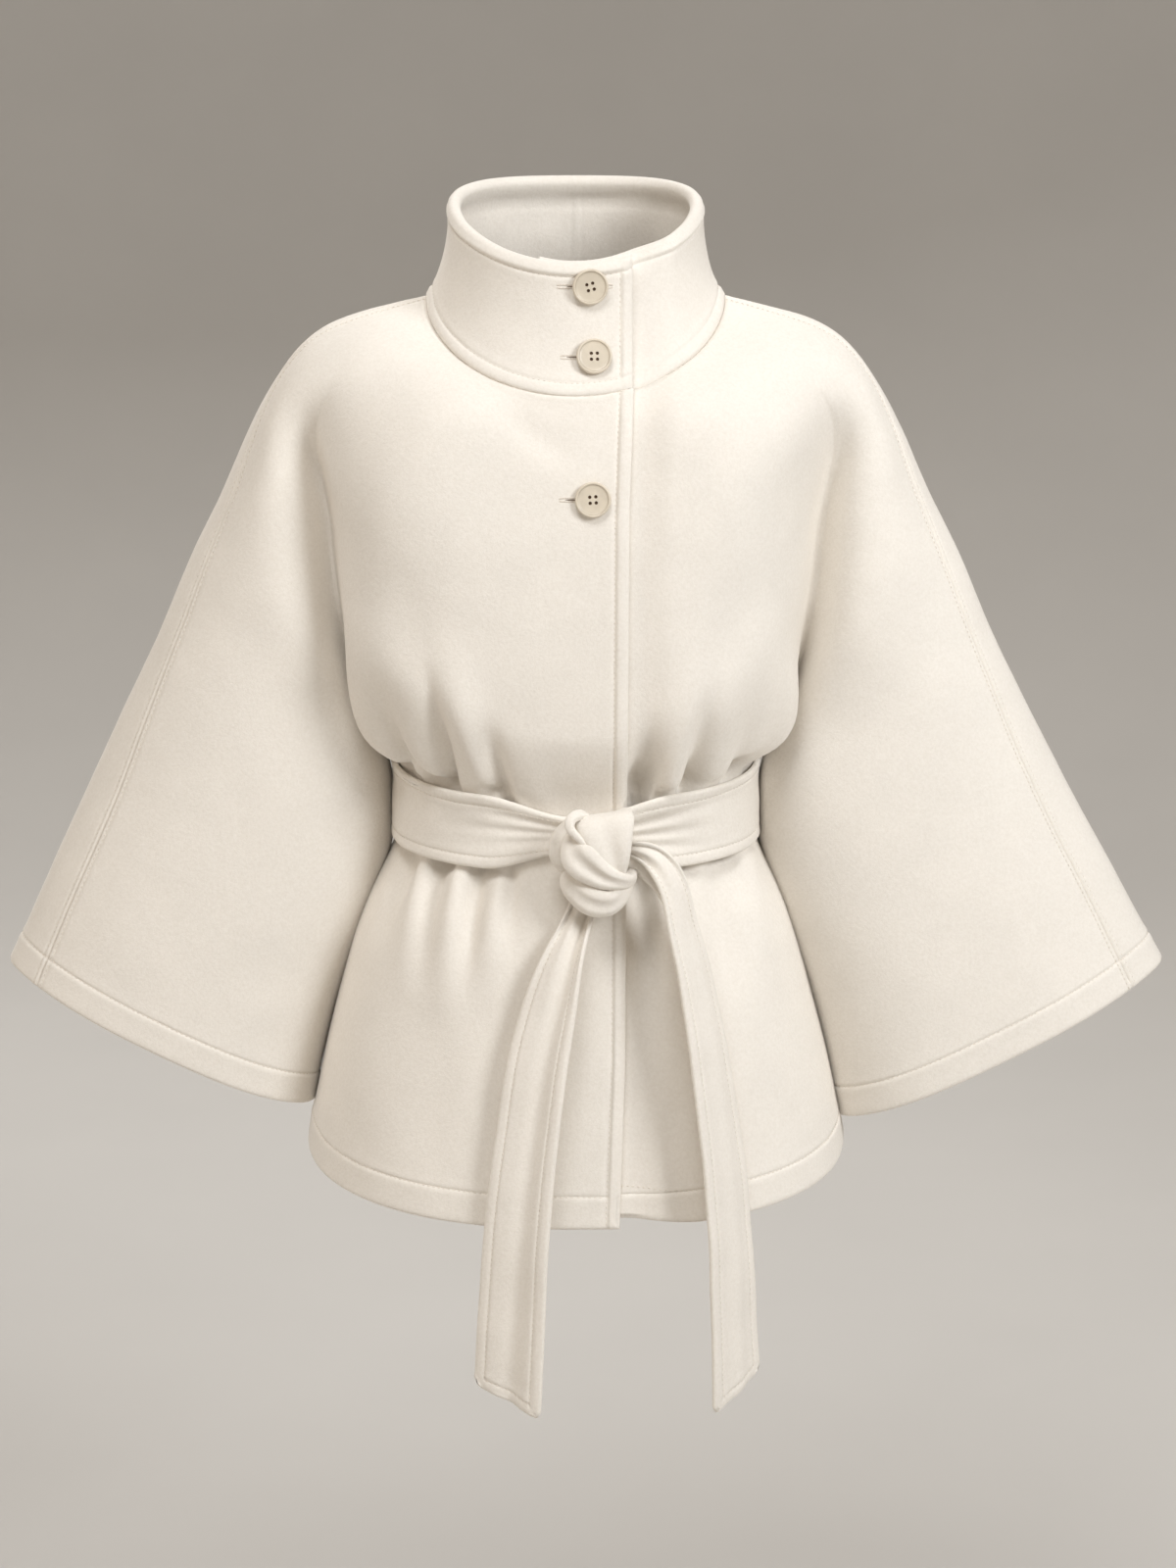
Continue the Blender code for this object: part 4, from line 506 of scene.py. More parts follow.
VALLEY_END, VALLEY_FOOT = 0.8, 7.0         # the same at its lower end

# --- the cut pieces, flat (metres)
Cut = namedtuple("Cut", "panel width length area held rests_on")
CUTS = (
    Cut("front_right", 0.52, 0.68, 0.262, "hung", "wearer"),
    Cut("front_left", 0.52, 0.68, 0.262, "hung", "wearer"),
    Cut("back", 0.98, 0.68, 0.544, "hung", "wearer"),
    Cut("collar", 0.62, 0.095, None, "folded", "back"),
    Cut("belt_band", 0.80, 0.058, None, "folded", "back"),
    Cut("belt_knot", 0.06, 0.21, None, "folded", "belt_band"),
    Cut("belt_tail_right", 0.053, 0.395, None, "hung", "belt_knot"),
    Cut("belt_tail_left", 0.055, 0.41, None, "hung", "belt_knot"),
)


# === curves
def spline(knots, values, at):
    """The smooth curve through the values at the knots, read at other places."""
    knots = np.asarray(knots, float)
    values = np.asarray(values, float)
    at = np.asarray(at, float)
    count = len(knots)
    step = np.diff(knots)
    shape = (count - 1,) + (1,) * (values.ndim - 1)
    slope = np.diff(values, axis=0) / step.reshape(shape)
    system = np.eye(count)
    right = np.zeros_like(values)
    for i in range(1, count - 1):
        system[i, i - 1:i + 2] = step[i - 1], 2 * (step[i - 1] + step[i]), step[i]
        right[i] = 6 * (slope[i] - slope[i - 1])
    bend = np.linalg.solve(system, right.reshape(count, -1)).reshape(values.shape)
    i = np.clip(np.searchsorted(knots, at, side="right") - 1, 0, count - 2)
    column = (len(at),) + (1,) * (values.ndim - 1)
    a = ((knots[i + 1] - at) / step[i]).reshape(column)
    b = 1 - a
    h = step[i].reshape(column)
    return (a * values[i] + b * values[i + 1]
            + ((a ** 3 - a) * bend[i] + (b ** 3 - b) * bend[i + 1]) * h ** 2 / 6)


def chord_knots(points):
    """Distances along a row of points."""
    gaps = np.linalg.norm(np.diff(points, axis=0), axis=1)
    return np.concatenate(([0.0], np.cumsum(np.maximum(gaps, SHORTEST))))


def smoothstep(share):
    share = np.clip(share, 0.0, 1.0)
    return share * share * (3 - 2 * share)


def past(distance, at, over=STITCH_FADE):
    """0 up to a distance, rising smoothly to 1 a little farther on."""
    return smoothstep((distance - at) / over)


def bell(distance, width):
    """1 at no distance, falling smoothly to nothing over a few widths."""
    return np.exp(-(distance / width) ** 2)


# A stretch that starts at a rail: its even steps, and the end at which a seam's lines lie.
Span = namedtuple("Span", "steps close")


def span(rail, close=""):
    return Span(ACROSS[rail], close)


SPANS = {
    "front_body": (span("middle"), span("chest"), span("breast"), span("edge", "end")),
    "front_sleeve": (span("valley", "start"), span("ridge"), span("face", "end")),
    "back_sleeve": (span("seam", "start"), span("face"), span("ridge"), span("valley", "end")),
    "back_body": (span("edge", "start"), span("breast"), span("chest"), span("middle")),
}


def spans_of(names):
    return [one for name in names for one in SPANS[name]]


def divide(knots, stretches, unit_length=1.0):
    """Places along the knots: even steps in each stretch, and lines close to a seam."""
    places = [knots[0]]
    for start, stop, stretch in zip(knots, knots[1:], stretches):
        lines = np.array(SEAM_LINES) / unit_length
        lines = lines * min(1.0, SEAM_LINES_SHARE * abs(stop - start) / lines[-1])
        lines = lines * math.copysign(1.0, stop - start)
        first, last = start, stop
        if stretch.close == "start":
            places.extend(start + lines)
            first = start + lines[-1]
        if stretch.close == "end":
            last = stop - lines[-1]
        places.extend(first + (last - first) * (k + 1) / stretch.steps
                      for k in range(stretch.steps))
        if stretch.close == "end":
            places.extend(stop - lines[-2::-1])
            places.append(stop)
    return np.array(places)


def smooth_row(points, names, before, after):
    """A row of the named parts' points on a smooth curve, helped by neighbours at its ends."""
    every = np.array(before + points + after, float)
    knots = chord_knots(every)
    own = knots[len(before):len(before) + len(points)]
    return spline(knots, every, divide(own, spans_of(names)))


def read_along(at, knots, points):
    """Points at other places along a row of them, on straight lines between its points."""
    return np.stack([np.interp(at, knots, points[:, k]) for k in range(3)], axis=-1)


def read_columns(points, places):
    """A table of points read again at other distances from its columns' lower ends."""
    left = distance_along(points, 0, True)
    return np.stack([read_along(at, left[::-1, j], points[::-1, j])
                     for j, at in enumerate(places(left).T)], axis=1)


# === sections
def squared(share):
    """Reach of a rounded square outline at a share of its half width."""
    return max(0.0, 1 - share ** BODY_SQUARENESS) ** (1 / BODY_SQUARENESS)


def neck_point(turn, backward=False, side=1):
    """A point of the neckline: turn 0 is the middle, turn 1 the side of the neck."""
    angle = turn * math.pi / 2
    across = side * NECK_HALF_WIDTH * math.sin(angle)
    reach = math.cos(angle)
    if backward:
        return across, NECK_BACKWARD * reach, NECK_RISE_BACK * reach ** 2
    return across, -NECK_FORWARD * reach, -NECK_DROP_FRONT * reach ** NECK_EASE


def between(middle, edge, share):
    """A point of the chest between the middle and the soft edge of the body."""
    low = squared(share)
    rise = share ** CREASE_EASE
    return (edge[0] * share, edge[1] + (middle[1] - edge[1]) * low,
            middle[2] + (edge[2] - middle[2]) * rise)


def upper_rails(row, back_middle, side):
    """All the named points of a section above the underarm, front middle to back middle."""
    soft = 0.0 if row.name in STRAIGHT_EDGED else SIDES[side].edge_in
    edge = (row.edge[0] - soft, row.edge[1] + EDGE_FORWARD * soft, row.edge[2])
    front = [row.middle, between(row.middle, edge, CHEST_AT),
             between(row.middle, edge, BREAST_AT), edge, row.valley, row.ridge, row.face,
             row.seam, row.outer]
    lift = back_middle[1] - row.middle[2]
    places = {"face": row.face, "ridge": row.ridge, "valley": row.valley, "edge": edge}
    back = [(x, BACK_REACH[name] * forward, z + BACK_LIFT[name] * lift)
            for name, (x, forward, z) in places.items()]
    middle = (0.0,) + back_middle
    back += [between(middle, back[-1], BREAST_AT), between(middle, back[-1], CHEST_AT), middle]
    return ([(side * x, -forward, z) for x, forward, z in front]
            + [(side * x, backward, z) for x, backward, z in back])


def neck_row(side):
    """Points along the neckline, from the middle of the front to the middle of the back."""
    quarter = math.pi / 4 * (NECK_HALF_WIDTH + NECK_FORWARD)
    front_starts = [NECK_START[name] for name in FRONT_RAILS]
    front = divide(front_starts, spans_of(("front_body", "front_sleeve")), quarter)
    back = divide((1.0,) + NECK_START_BACK, spans_of(("back_sleeve", "back_body")), quarter)
    return np.array([neck_point(turn, side=side) for turn in front]
                    + [neck_point(turn, True, side) for turn in back[1:]])


def body_rails(row, side):
    """The named points of a ring round the body, front middle to back middle."""
    edge_half = UNDERARM_EDGE.get(row.name, EDGE_AT * row.half)
    shares = (0.0, CHEST_AT * EDGE_AT, BREAST_AT * EDGE_AT, EDGE_AT)
    arcs = []
    for reach, height in ((-row.front, row.front_z), (row.back, row.back_z)):
        arc = []
        for share in shares:
            low = squared(share)
            across = row.half * share if share < EDGE_AT else edge_half
            rise = (height - row.side_z) * low ** RING_EASE
            arc.append((side * across, reach * low, row.side_z + rise))
        arcs.append(arc)
    return arcs[0] + [(side * row.half, 0.0, row.side_z)] + arcs[1][::-1]


def sleeve_rails(row, side):
    """The named points round a sleeve, from the underarm seam over the front and back to it."""
    shape, top, cuff = SIDES[side], SLEEVE[0].outer_z, SLEEVE[-1].outer_z
    lower = (top - row.outer_z) / (top - cuff)
    inner = np.array((row.inner, 0.0, row.inner_z - shape.cuff_down * lower ** CUFF_DOWN_EASE))
    out = shape.cuff_out * lower ** CUFF_OUT_EASE
    outer = np.array((row.outer + out, OUTER_BACK, row.outer_z))

    def place(along, reach):
        point = inner + (outer - inner) * along
        return side * point[0], point[1] - reach, point[2]

    ridge, face = (RIDGE_ALONG, RIDGE_REACH), (FACE_ALONG, FACE_REACH)
    front = [place(a, r * row.front) for a, r in (ridge, face, (SEAM_ALONG, SEAM_REACH))]
    back = [place(a, -r * row.back) for a, r in (face, ridge)]
    return [place(0, 0)] + front + [place(1, 0)] + back + [place(0, 0)]


def mirrored(point):
    return -point[0], point[1], point[2]


def share_out(parts, row, names):
    """Cut a row of points into the named parts, which share their end points."""
    start = 0
    for name in names:
        stop = start + sum(one.steps + (len(SEAM_LINES) if one.close else 0)
                           for one in SPANS[name])
        parts[name].append(row[start:stop + 1])
        start = stop


def station_rows(side):
    """Points along every section, in the four parts: a row for each section."""
    parts = {name: [] for name in SPANS}
    share_out(parts, neck_row(side), SPANS)
    sections = [(SPANS, upper_rails(row, back_middle, side))
                for row, back_middle in zip(UPPER, BACK_MIDDLE)]
    sections += [(("front_body", "back_body"), body_rails(row, side)) for row in BODY]
    for names, rails in sections:
        row = smooth_row(rails, names, [mirrored(rails[1])], [mirrored(rails[-2])])
        share_out(parts, row, names)
    names = ("front_sleeve", "back_sleeve")
    for row in SLEEVE:
        rails = sleeve_rails(row, side)
        share_out(parts, smooth_row(rails, names, rails[-3:-1], rails[1:3]), names)
    return {name: np.array(rows) for name, rows in parts.items()}


def down_knots(part):
    """Mean distances down the sections of a part."""
    gaps = np.linalg.norm(np.diff(part, axis=0), axis=2).mean(axis=1)
    return np.concatenate(([0.0], np.cumsum(gaps)))


def distance_along(points, axis, from_end=False):
    """Distance of each point of a table of points from the table's first or last one."""
    gaps = np.linalg.norm(np.diff(points, axis=axis), axis=2)
    start = np.zeros_like(np.take(gaps, [0], axis=axis))
    total = np.concatenate((start, np.cumsum(gaps, axis=axis)), axis=axis)
    return np.take(total, [-1], axis=axis) - total if from_end else total


class Skin:
    """The outer surface of one side of the garment, in four joined parts."""

    def __init__(self, side):
        self.stations = station_rows(side)
        underarm = len(UPPER) + 1
        self.knots = {name: down_knots(part) for name, part in self.stations.items()}
        for one, other in (("front_body", "back_body"), ("front_sleeve", "back_sleeve")):
            mean = (self.knots[one] + self.knots[other]) / 2
            self.knots[one] = self.knots[other] = mean
        shared = (self.knots["front_body"][underarm] + self.knots["front_sleeve"][underarm]) / 2
        for name, knots in self.knots.items():
            split = knots[underarm]
            above = knots * shared / split
            self.knots[name] = np.where(knots <= split, above, knots - split + shared)
        start = 2 * NECK_LINES[-1] - NECK_LINES[-2]
        top = np.concatenate(([0.0], NECK_LINES, np.linspace(start, shared, ROWS_ABOVE)))
        self.split_row = len(top) - 1
        self.parts = {}
        for name, knots in self.knots.items():
            count, room = ROWS_BELOW[name]
            low = np.linspace(shared, knots[-1] - room, count + 1)[1:]
            upper_rows = spline(knots, self.stations[name], np.concatenate((top, low)))
            fine = np.linspace(low[-1], knots[-1], FINE_ROWS)
            near_hem = spline(knots, self.stations[name], fine)
            self.parts[name] = np.concatenate((upper_rows, hem_rows(near_hem)))
        self.join("front_body", -1, "front_sleeve", 0)
        self.join("back_sleeve", -1, "back_body", 0)
        self.straighten("front_body", "front_sleeve")
        self.straighten("back_sleeve", "back_body")

    def join(self, one, one_column, other, other_column):
        """Above the underarm, two neighbouring parts share their line of points."""
        rows = slice(0, self.split_row + 1)
        mean = (self.parts[one][rows, one_column] + self.parts[other][rows, other_column]) / 2
        self.parts[one][rows, one_column] = mean
        self.parts[other][rows, other_column] = mean

    def straighten(self, one, other):
        """Above the underarm, draw straight the narrow strip where two parts meet."""
        rows = self.split_row
        strip = np.concatenate((self.parts[one][:rows, -JOIN_STRIP - 1:],
                                self.parts[other][:rows, 1:JOIN_STRIP + 1]), axis=1)
        share = distance_along(strip, 1)
        share = (share / share[:, -1:])[:, :, None]
        straight = strip[:, :1] + (strip[:, -1:] - strip[:, :1]) * share
        weight = smoothstep((rows - np.arange(rows)) / JOIN_STRIP)[:, None, None]
        strip = strip + (straight - strip) * weight
        self.parts[one][:rows, -JOIN_STRIP - 1:] = strip[:, :JOIN_STRIP + 1]
        self.parts[other][:rows, :JOIN_STRIP + 1] = strip[:, JOIN_STRIP:]

    def height_row(self, name, section):
        """Where a named ring of the body lies among the rows."""
        index = len(UPPER) + 1 + [row.name for row in BODY].index(section)
        return self.knots[name][index]


def hem_rows(points):
    """The lowest rows, at set distances from the hem along every column."""
    def places(left):
        fill = np.linspace(left[0], HEM_LINES[0], HEM_FILL + 2)[1:-1]
        return np.concatenate((fill, with_columns(HEM_LINES, left)))
    return read_columns(points, places)


def with_columns(lines, left):
    """The same lines for every column of a table of distances."""
    return np.repeat(np.array(lines)[:, None], left.shape[1], axis=1)


def patch_faces(ids, flip):
    """Four-sided faces over a table of point numbers, facing out."""
    corners = (ids[:-1, :-1], ids[1:, :-1], ids[1:, 1:], ids[:-1, 1:])
    faces = np.stack(corners, axis=-1).reshape(-1, 4)
    return faces[:, ::-1] if flip else faces


def face_directions(points, faces):
    """The direction out of each four-sided face."""
    corners = points[faces]
    cross = np.cross(corners[:, 2] - corners[:, 0], corners[:, 3] - corners[:, 1])
    return cross / np.maximum(np.linalg.norm(cross, axis=1, keepdims=True), TINY)


def unit(vectors):
    return vectors / np.maximum(np.linalg.norm(vectors, axis=-1, keepdims=True), TINY)


def point_normals(points, faces):
    """Directions out of the surface at its points, to which each face adds the same."""
    normals = np.zeros_like(points)
    ways = face_directions(points, faces)
    for k in range(4):
        np.add.at(normals, faces[:, k], ways)
    return unit(normals)


def wall_reach(points, normals, faces):
    """How much farther than its thickness the wall reaches in at a fold, to stay as thick."""
    total, count = np.zeros(len(points)), np.zeros(len(points))
    ways = face_directions(points, faces)
    for k in range(4):
        np.add.at(total, faces[:, k], np.sum(ways * normals[faces[:, k]], axis=1))
        np.add.at(count, faces[:, k], 1)
    return np.clip(count / np.maximum(total, TINY), 1.0, FOLD_REACH)


def uneven(points, waves):
    """How far the waves of the cloth's soft unevenness raise or sink each point."""
    height = np.zeros(points.shape[:-1])
    for wave in waves:
        start = Vector((wave.start, 0, 0))
        rise = [noise.noise(Vector(p / wave.size) + start) for p in points.reshape(-1, 3)]
        height += wave.height * np.array(rise).reshape(height.shape)
    return height


def fold_place(points, fold):
    """How far from a fold's line and along it each point is, seen from the front."""
    start = np.array((fold.from_x, fold.from_z))
    way = np.array((fold.to_x, fold.to_z)) - start
    flat = points[..., [0, 2]] - start
    share = np.clip(flat @ way / (way @ way), 0, 1)
    return np.linalg.norm(flat - share[..., None] * way, axis=-1), share


def folds_depth(points, held, free=()):
    """How deep folds press each point in, on the front: held at one end, or free at both."""
    depth = np.zeros(points.shape[:-1])
    for fold in held:
        away, share = fold_place(points, fold)
        spread = fold.width * (FOLD_SPREAD + (1 - FOLD_SPREAD) * share)
        depth += fold.depth * smoothstep(share / FOLD_RISE) * bell(away, spread)
    for fold in free:
        away, share = fold_place(points, fold)
        fade = smoothstep(share / FOLD_FADE) * smoothstep((1 - share) / FOLD_FADE)
        depth += fold.depth * fade * bell(away, fold.width)
    return depth * (points[..., 1] < 0)


def belt_squeeze(around):
    """The band's height at a distance round from the knot, as a share of its full height."""
    return BELT_SQUEEZE + (1 - BELT_SQUEEZE) * smoothstep(around / BELT_SQUEEZE_LENGTH)


def seam_relief(away):
    """The surface sinks into a seam and swells beside it."""
    return (SEAM_PUFF * bell(away - SEAM_PUFF_AT, SEAM_PUFF_WIDTH)
            - SEAM_GROOVE * bell(away, SEAM_GROOVE_WIDTH))


def stitch_relief(away, at):
    """A row of stitches pulls the cloth in, and it swells on both sides."""
    swell = bell(away - at - STITCH_PUFF_WIDTH, STITCH_PUFF_WIDTH)
    swell = swell + bell(away - at + STITCH_PUFF_WIDTH, STITCH_PUFF_WIDTH)
    return STITCH_PUFF * swell - STITCH_GROOVE * bell(away - at, STITCH_GROOVE_WIDTH)


def strip_relief(away, at):
    """Between a row of stitches and an edge the doubled cloth swells."""
    return EDGE_PUFF * smoothstep((at - away) / STRIP_RISE) * past(away, -STRIP_ROOT, STRIP_FALL)


# === the whole outer surface
class Garment:
    """Both sides' outer surfaces, joined, with the gathers pressed in at the belt."""

    def __init__(self):
        self.skins = {side: Skin(side) for side in (RIGHT, LEFT)}
        self.number_points()
        self.points = np.zeros((self.count, 3))
        faces = []
        for (side, name), ids in self.ids.items():
            self.points[ids] = self.skins[side].parts[name]
            faces.append(patch_faces(ids, side == RIGHT))
        faces = np.concatenate(faces)
        self.normals = point_normals(self.points, faces)
        self.flat_points, self.flat_normals = self.points, self.normals.copy()
        self.measure()
        depth = self.gather_depths() + folds_depth(self.points, FRONT_FOLDS, FREE_FOLDS)
        depth = np.where(depth < 0, depth * self.belt_clearance(), depth)
        self.points = self.points - self.normals * depth[:, None]
        self.points[:, 1] += self.valley_depths()
        self.normals = point_normals(self.points, faces)
        self.reach = wall_reach(self.points, self.normals, faces)
        for ids in self.ids.values():
            at_neck = [neck_normal(point) for point in self.points[ids[0]]]
            self.normals[ids[0]] = self.flat_normals[ids[0]] = at_neck
            self.reach[ids[0]] = 1.0

    def number_points(self):
        """Give every point a number, which parts that meet there share."""
        self.ids, self.count = {}, 0
        for side, skin in self.skins.items():
            below = slice(skin.split_row, None)
            above = slice(0, skin.split_row + 1)
            own = {}
            for name, part in skin.parts.items():
                size = part.shape[0] * part.shape[1]
                own[name] = np.arange(self.count, self.count + size).reshape(part.shape[:2])
                self.count += size
            own["front_sleeve"][above, 0] = own["front_body"][above, -1]
            own["back_sleeve"][:, 0] = own["front_sleeve"][:, -1]
            own["back_sleeve"][below, -1] = own["front_sleeve"][below, 0]
            own["back_body"][above, 0] = own["back_sleeve"][above, -1]
            own["back_body"][below, 0] = own["front_body"][below, -1]
            if side == LEFT:
                own["front_body"][:, 0] = self.ids[RIGHT, "front_body"][:, 0]
                own["back_body"][:, -1] = self.ids[RIGHT, "back_body"][:, -1]
            for name, ids in own.items():
                self.ids[side, name] = ids

    def measure(self):
        """Distances from every point to the hem, the neck and the seams."""
        self.to_hem, self.to_neck, self.to_shoulder, self.to_side = (
            np.full(self.count, FAR) for _ in range(4))
        for (side, name), ids in self.ids.items():
            points = self.skins[side].parts[name]
            down = distance_along(points, 0)
            above = np.maximum(down[self.skins[side].split_row] - down, 0)
            to_side = distance_along(points, 1, name in ("front_body", "back_sleeve"))
            found = [(self.to_hem, distance_along(points, 0, True)), (self.to_neck, down),
                     (self.to_side, np.hypot(to_side, above))]
            if "sleeve" in name:
                to_shoulder = distance_along(points, 1, name == "front_sleeve")
                found.append((self.to_shoulder, to_shoulder))
            for known, distances in found:
                known[ids] = np.minimum(known[ids], distances)

    def waist_line(self, side, name):
        """The waist's point of each column, and its distance round from the middle."""
        skin = self.skins[side]
        waist = spline(skin.knots[name], skin.stations[name], [skin.height_row(name, "waist")])[0]
        turn = -1 if name == "back_body" else 1
        return waist, chord_knots(waist[::turn])[::turn]

    def gather_depths(self):
        """How far each point is pressed in by the gathers."""
        depths = np.zeros(self.count)
        for key, gathers in GATHERS.items():
            ids = self.ids[key]
            waist, around = self.waist_line(*key)
            height = self.points[ids][:, :, 2] - waist[None, :, 2]
            above = np.abs(height) - BELT_HALF
            under = UNDER_BELT + (1 - UNDER_BELT) * past(above, -UNDER_FROM, UNDER_OVER)
            depth = np.zeros(ids.shape)
            for gather in gathers:
                reach = np.where(height > 0, gather.up, gather.down)
                away = np.clip(above / reach, 0, 1)
                middle = gather.at + gather.lean * height
                shape = bell(around[None, :] - middle, gather.width)
                depth += gather.depth * shape * (1 - away) ** GATHER_EASE * under
            depths[ids] = np.maximum(depths[ids], depth)
        return depths

    def belt_clearance(self):
        """0 for points under the belt, 1 for points well away from it."""
        clear = np.ones(self.count)
        for side, name in GATHERS:
            ids = self.ids[side, name]
            waist, around = self.waist_line(side, name)
            share = belt_squeeze(around) if name == "front_body" else 1.0
            height = np.abs(self.points[ids][:, :, 2] - waist[:, 2])
            room = past(height, BELT_HALF * share, BELT_CLEAR)
            clear[ids] = np.minimum(clear[ids], room)
        return clear

    def valley_depths(self):
        """How much deeper the front's valley beside each sleeve is drawn."""
        depths = np.zeros(self.count)
        for side, skin in self.skins.items():
            split = skin.split_row
            down = distance_along(skin.parts["front_body"], 0)[:split + 1, -1]
            run = past(down, VALLEY_FROM, VALLEY_TOP)
            run = run * smoothstep((down[-1] - VALLEY_END - down) / VALLEY_FOOT)
            for name, last, width in (("front_body", True, VALLEY_BODY),
                                      ("front_sleeve", False, VALLEY_SLEEVE)):
                away = distance_along(skin.parts[name], 1, last)[:split]
                press = VALLEY_PRESS * run[:split, None] * bell(away, width)
                ids = self.ids[side, name][:split]
                depths[ids] = np.maximum(depths[ids], press)
        return depths

    def relief(self):
        """How far the seams, the hems and the cloth's unevenness raise or sink each point."""
        height = sum(seam_relief(away) for away in (self.to_shoulder, self.to_side, self.to_neck))
        height += stitch_relief(self.to_hem, HEM_STITCH)
        height += HEM_SWELL * strip_relief(self.to_hem, HEM_STITCH)
        height += stitch_relief(self.to_shoulder, SEAM_STITCH)
        return height + uneven(self.points, PANEL_WAVES)


def neck_normal(point):
    """The direction in which the cloth's thickness runs at the neckline."""
    forward = NECK_FORWARD if point[1] < 0 else NECK_BACKWARD
    out = np.array((point[0] / NECK_HALF_WIDTH ** 2, point[1] / forward ** 2, 0.0))
    out /= np.linalg.norm(out)
    tilt = NECK_TILT_FRONT + NECK_TILT_SIDE * min(1.0, abs(point[0]) / NECK_HALF_WIDTH) ** 2
    return out * math.cos(tilt) + np.array((0, 0, math.sin(tilt)))


# === rows of stitches
def level_line(points, normals, distance, at, columns=slice(None)):
    """Points and directions at one distance down the columns of a table of points."""
    points, normals, distance = points[:, columns], normals[:, columns], distance[:, columns]
    spots, ways = [], []
    for j in range(points.shape[1]):
        order = np.argsort(distance[:, j])
        near = distance[order, j]
        if near[0] <= at <= near[-1]:
            spots.append(read_along(at, near, points[order, j]))
            ways.append(read_along(at, near, normals[order, j]))
    return np.array(spots), unit(np.array(ways))


def cross_line(points, normals, distance, at, rows=slice(None)):
    """The same along its rows."""
    turned_round = (part.swapaxes(0, 1) for part in (points, normals, distance))
    return level_line(*turned_round, at, rows)


def add_stitch(mesh, path, out, radius):
    """One stitch: a short thread along a path, with both its ends sunk in the cloth."""
    side = np.cross(unit(np.gradient(path, axis=0)), out)
    turns = 2 * math.pi * np.arange(STITCH_SIDES)[:, None] / STITCH_SIDES
    points, faces = mesh
    first = sum(len(ring) for ring in points)
    for k, (size, rise) in enumerate(zip(STITCH_SIZES, STITCH_RISES)):
        middle = path[k] + out[k] * rise * radius
        points.append(middle + radius * size * (np.cos(turns) * side[k] + np.sin(turns) * out[k]))
    rings = first + np.arange(len(path) * STITCH_SIDES).reshape(len(path), STITCH_SIDES)
    faces.extend(tube_faces(rings))


def tube_faces(rings):
    """Faces of a closed tube, from the numbers of the points round each of its rings."""
    following = np.roll(rings, -1, axis=1)
    walls = np.stack((rings[:-1], following[:-1], following[1:], rings[1:]), axis=-1)
    return ([tuple(wall) for wall in walls.reshape(-1, 4).tolist()]
            + [tuple(rings[0, ::-1].tolist()), tuple(rings[-1].tolist())])


def make_stitches(name, rows, material):
    """Every stitch of a panel's rows of stitches, as one mesh."""
    mesh = ([], [])
    for spots, ways in rows:
        knots = chord_knots(spots)
        start = STITCH_GAP
        while start + STITCH_LONG < knots[-1]:
            at = start + STITCH_LONG * STITCH_SHARES
            out = unit(read_along(at, knots, ways))
            add_stitch(mesh, read_along(at, knots, spots), out, STITCH_RADIUS)
            start += STITCH_LONG + STITCH_GAP
    return build_object(name, np.concatenate(mesh[0]), mesh[1], [material])


def surface_spot(tree, across, height):
    """Where the cloth lies at a place seen from the front, and its direction there."""
    spot, way, _, _ = tree.ray_cast(Vector((across, -IN_FRONT, height)), Vector((0, 1, 0)))
    way = np.array(way)
    return np.array(spot), way if way[1] < 0 else -way


def make_buttonhole(name, tree, button, thread, dark):
    """A slit of painted shade, with stitches set close across both its lips."""
    start, stop = button.across - button.hole_right, button.across + button.hole_left
    line = [surface_spot(tree, across, button.height)
            for across in np.linspace(start, stop, SLIT_SPOTS)]
    spots = np.array([spot for spot, _ in line])
    out = unit(np.mean([way for _, way in line], axis=0))
    up = np.cross(unit(spots[-1] - spots[0]), out)
    up = up if up[2] > 0 else -up
    outs = np.repeat(out[None], len(STITCH_SIZES), axis=0)
    mesh = ([], [])
    count = int((stop - start) / LIP_STEP)
    for share in np.arange(count + 1) / count:
        middle = read_along(share, np.linspace(0, 1, SLIT_SPOTS), spots)
        near_end = min(share, 1 - share) * (stop - start)
        open_by = SLIT_HALF * min(1.0, near_end / SLIT_TAPER)
        for way in (1, -1):
            path = middle + up * way * (open_by + LIP_LONG * STITCH_SHARES[:, None])
            add_stitch(mesh, path, outs, LIP_RADIUS)
    # a dark tube along the slit: painted shade where the buttonhole stands open
    painted_shade_from = len(mesh[1])
    path = spots[0] + (spots[-1] - spots[0]) * STITCH_SHARES[:, None]
    nearest = np.round(STITCH_SHARES * (SLIT_SPOTS - 1)).astype(int)
    path[:, 1] = spots[nearest, 1]
    add_stitch(mesh, path, outs, SLIT_HALF * SLIT_THICK)
    piece = build_object(name, np.concatenate(mesh[0]), mesh[1], [thread, dark])
    for face in piece.data.polygons[painted_shade_from:]:
        face.material_index = 1
    return piece


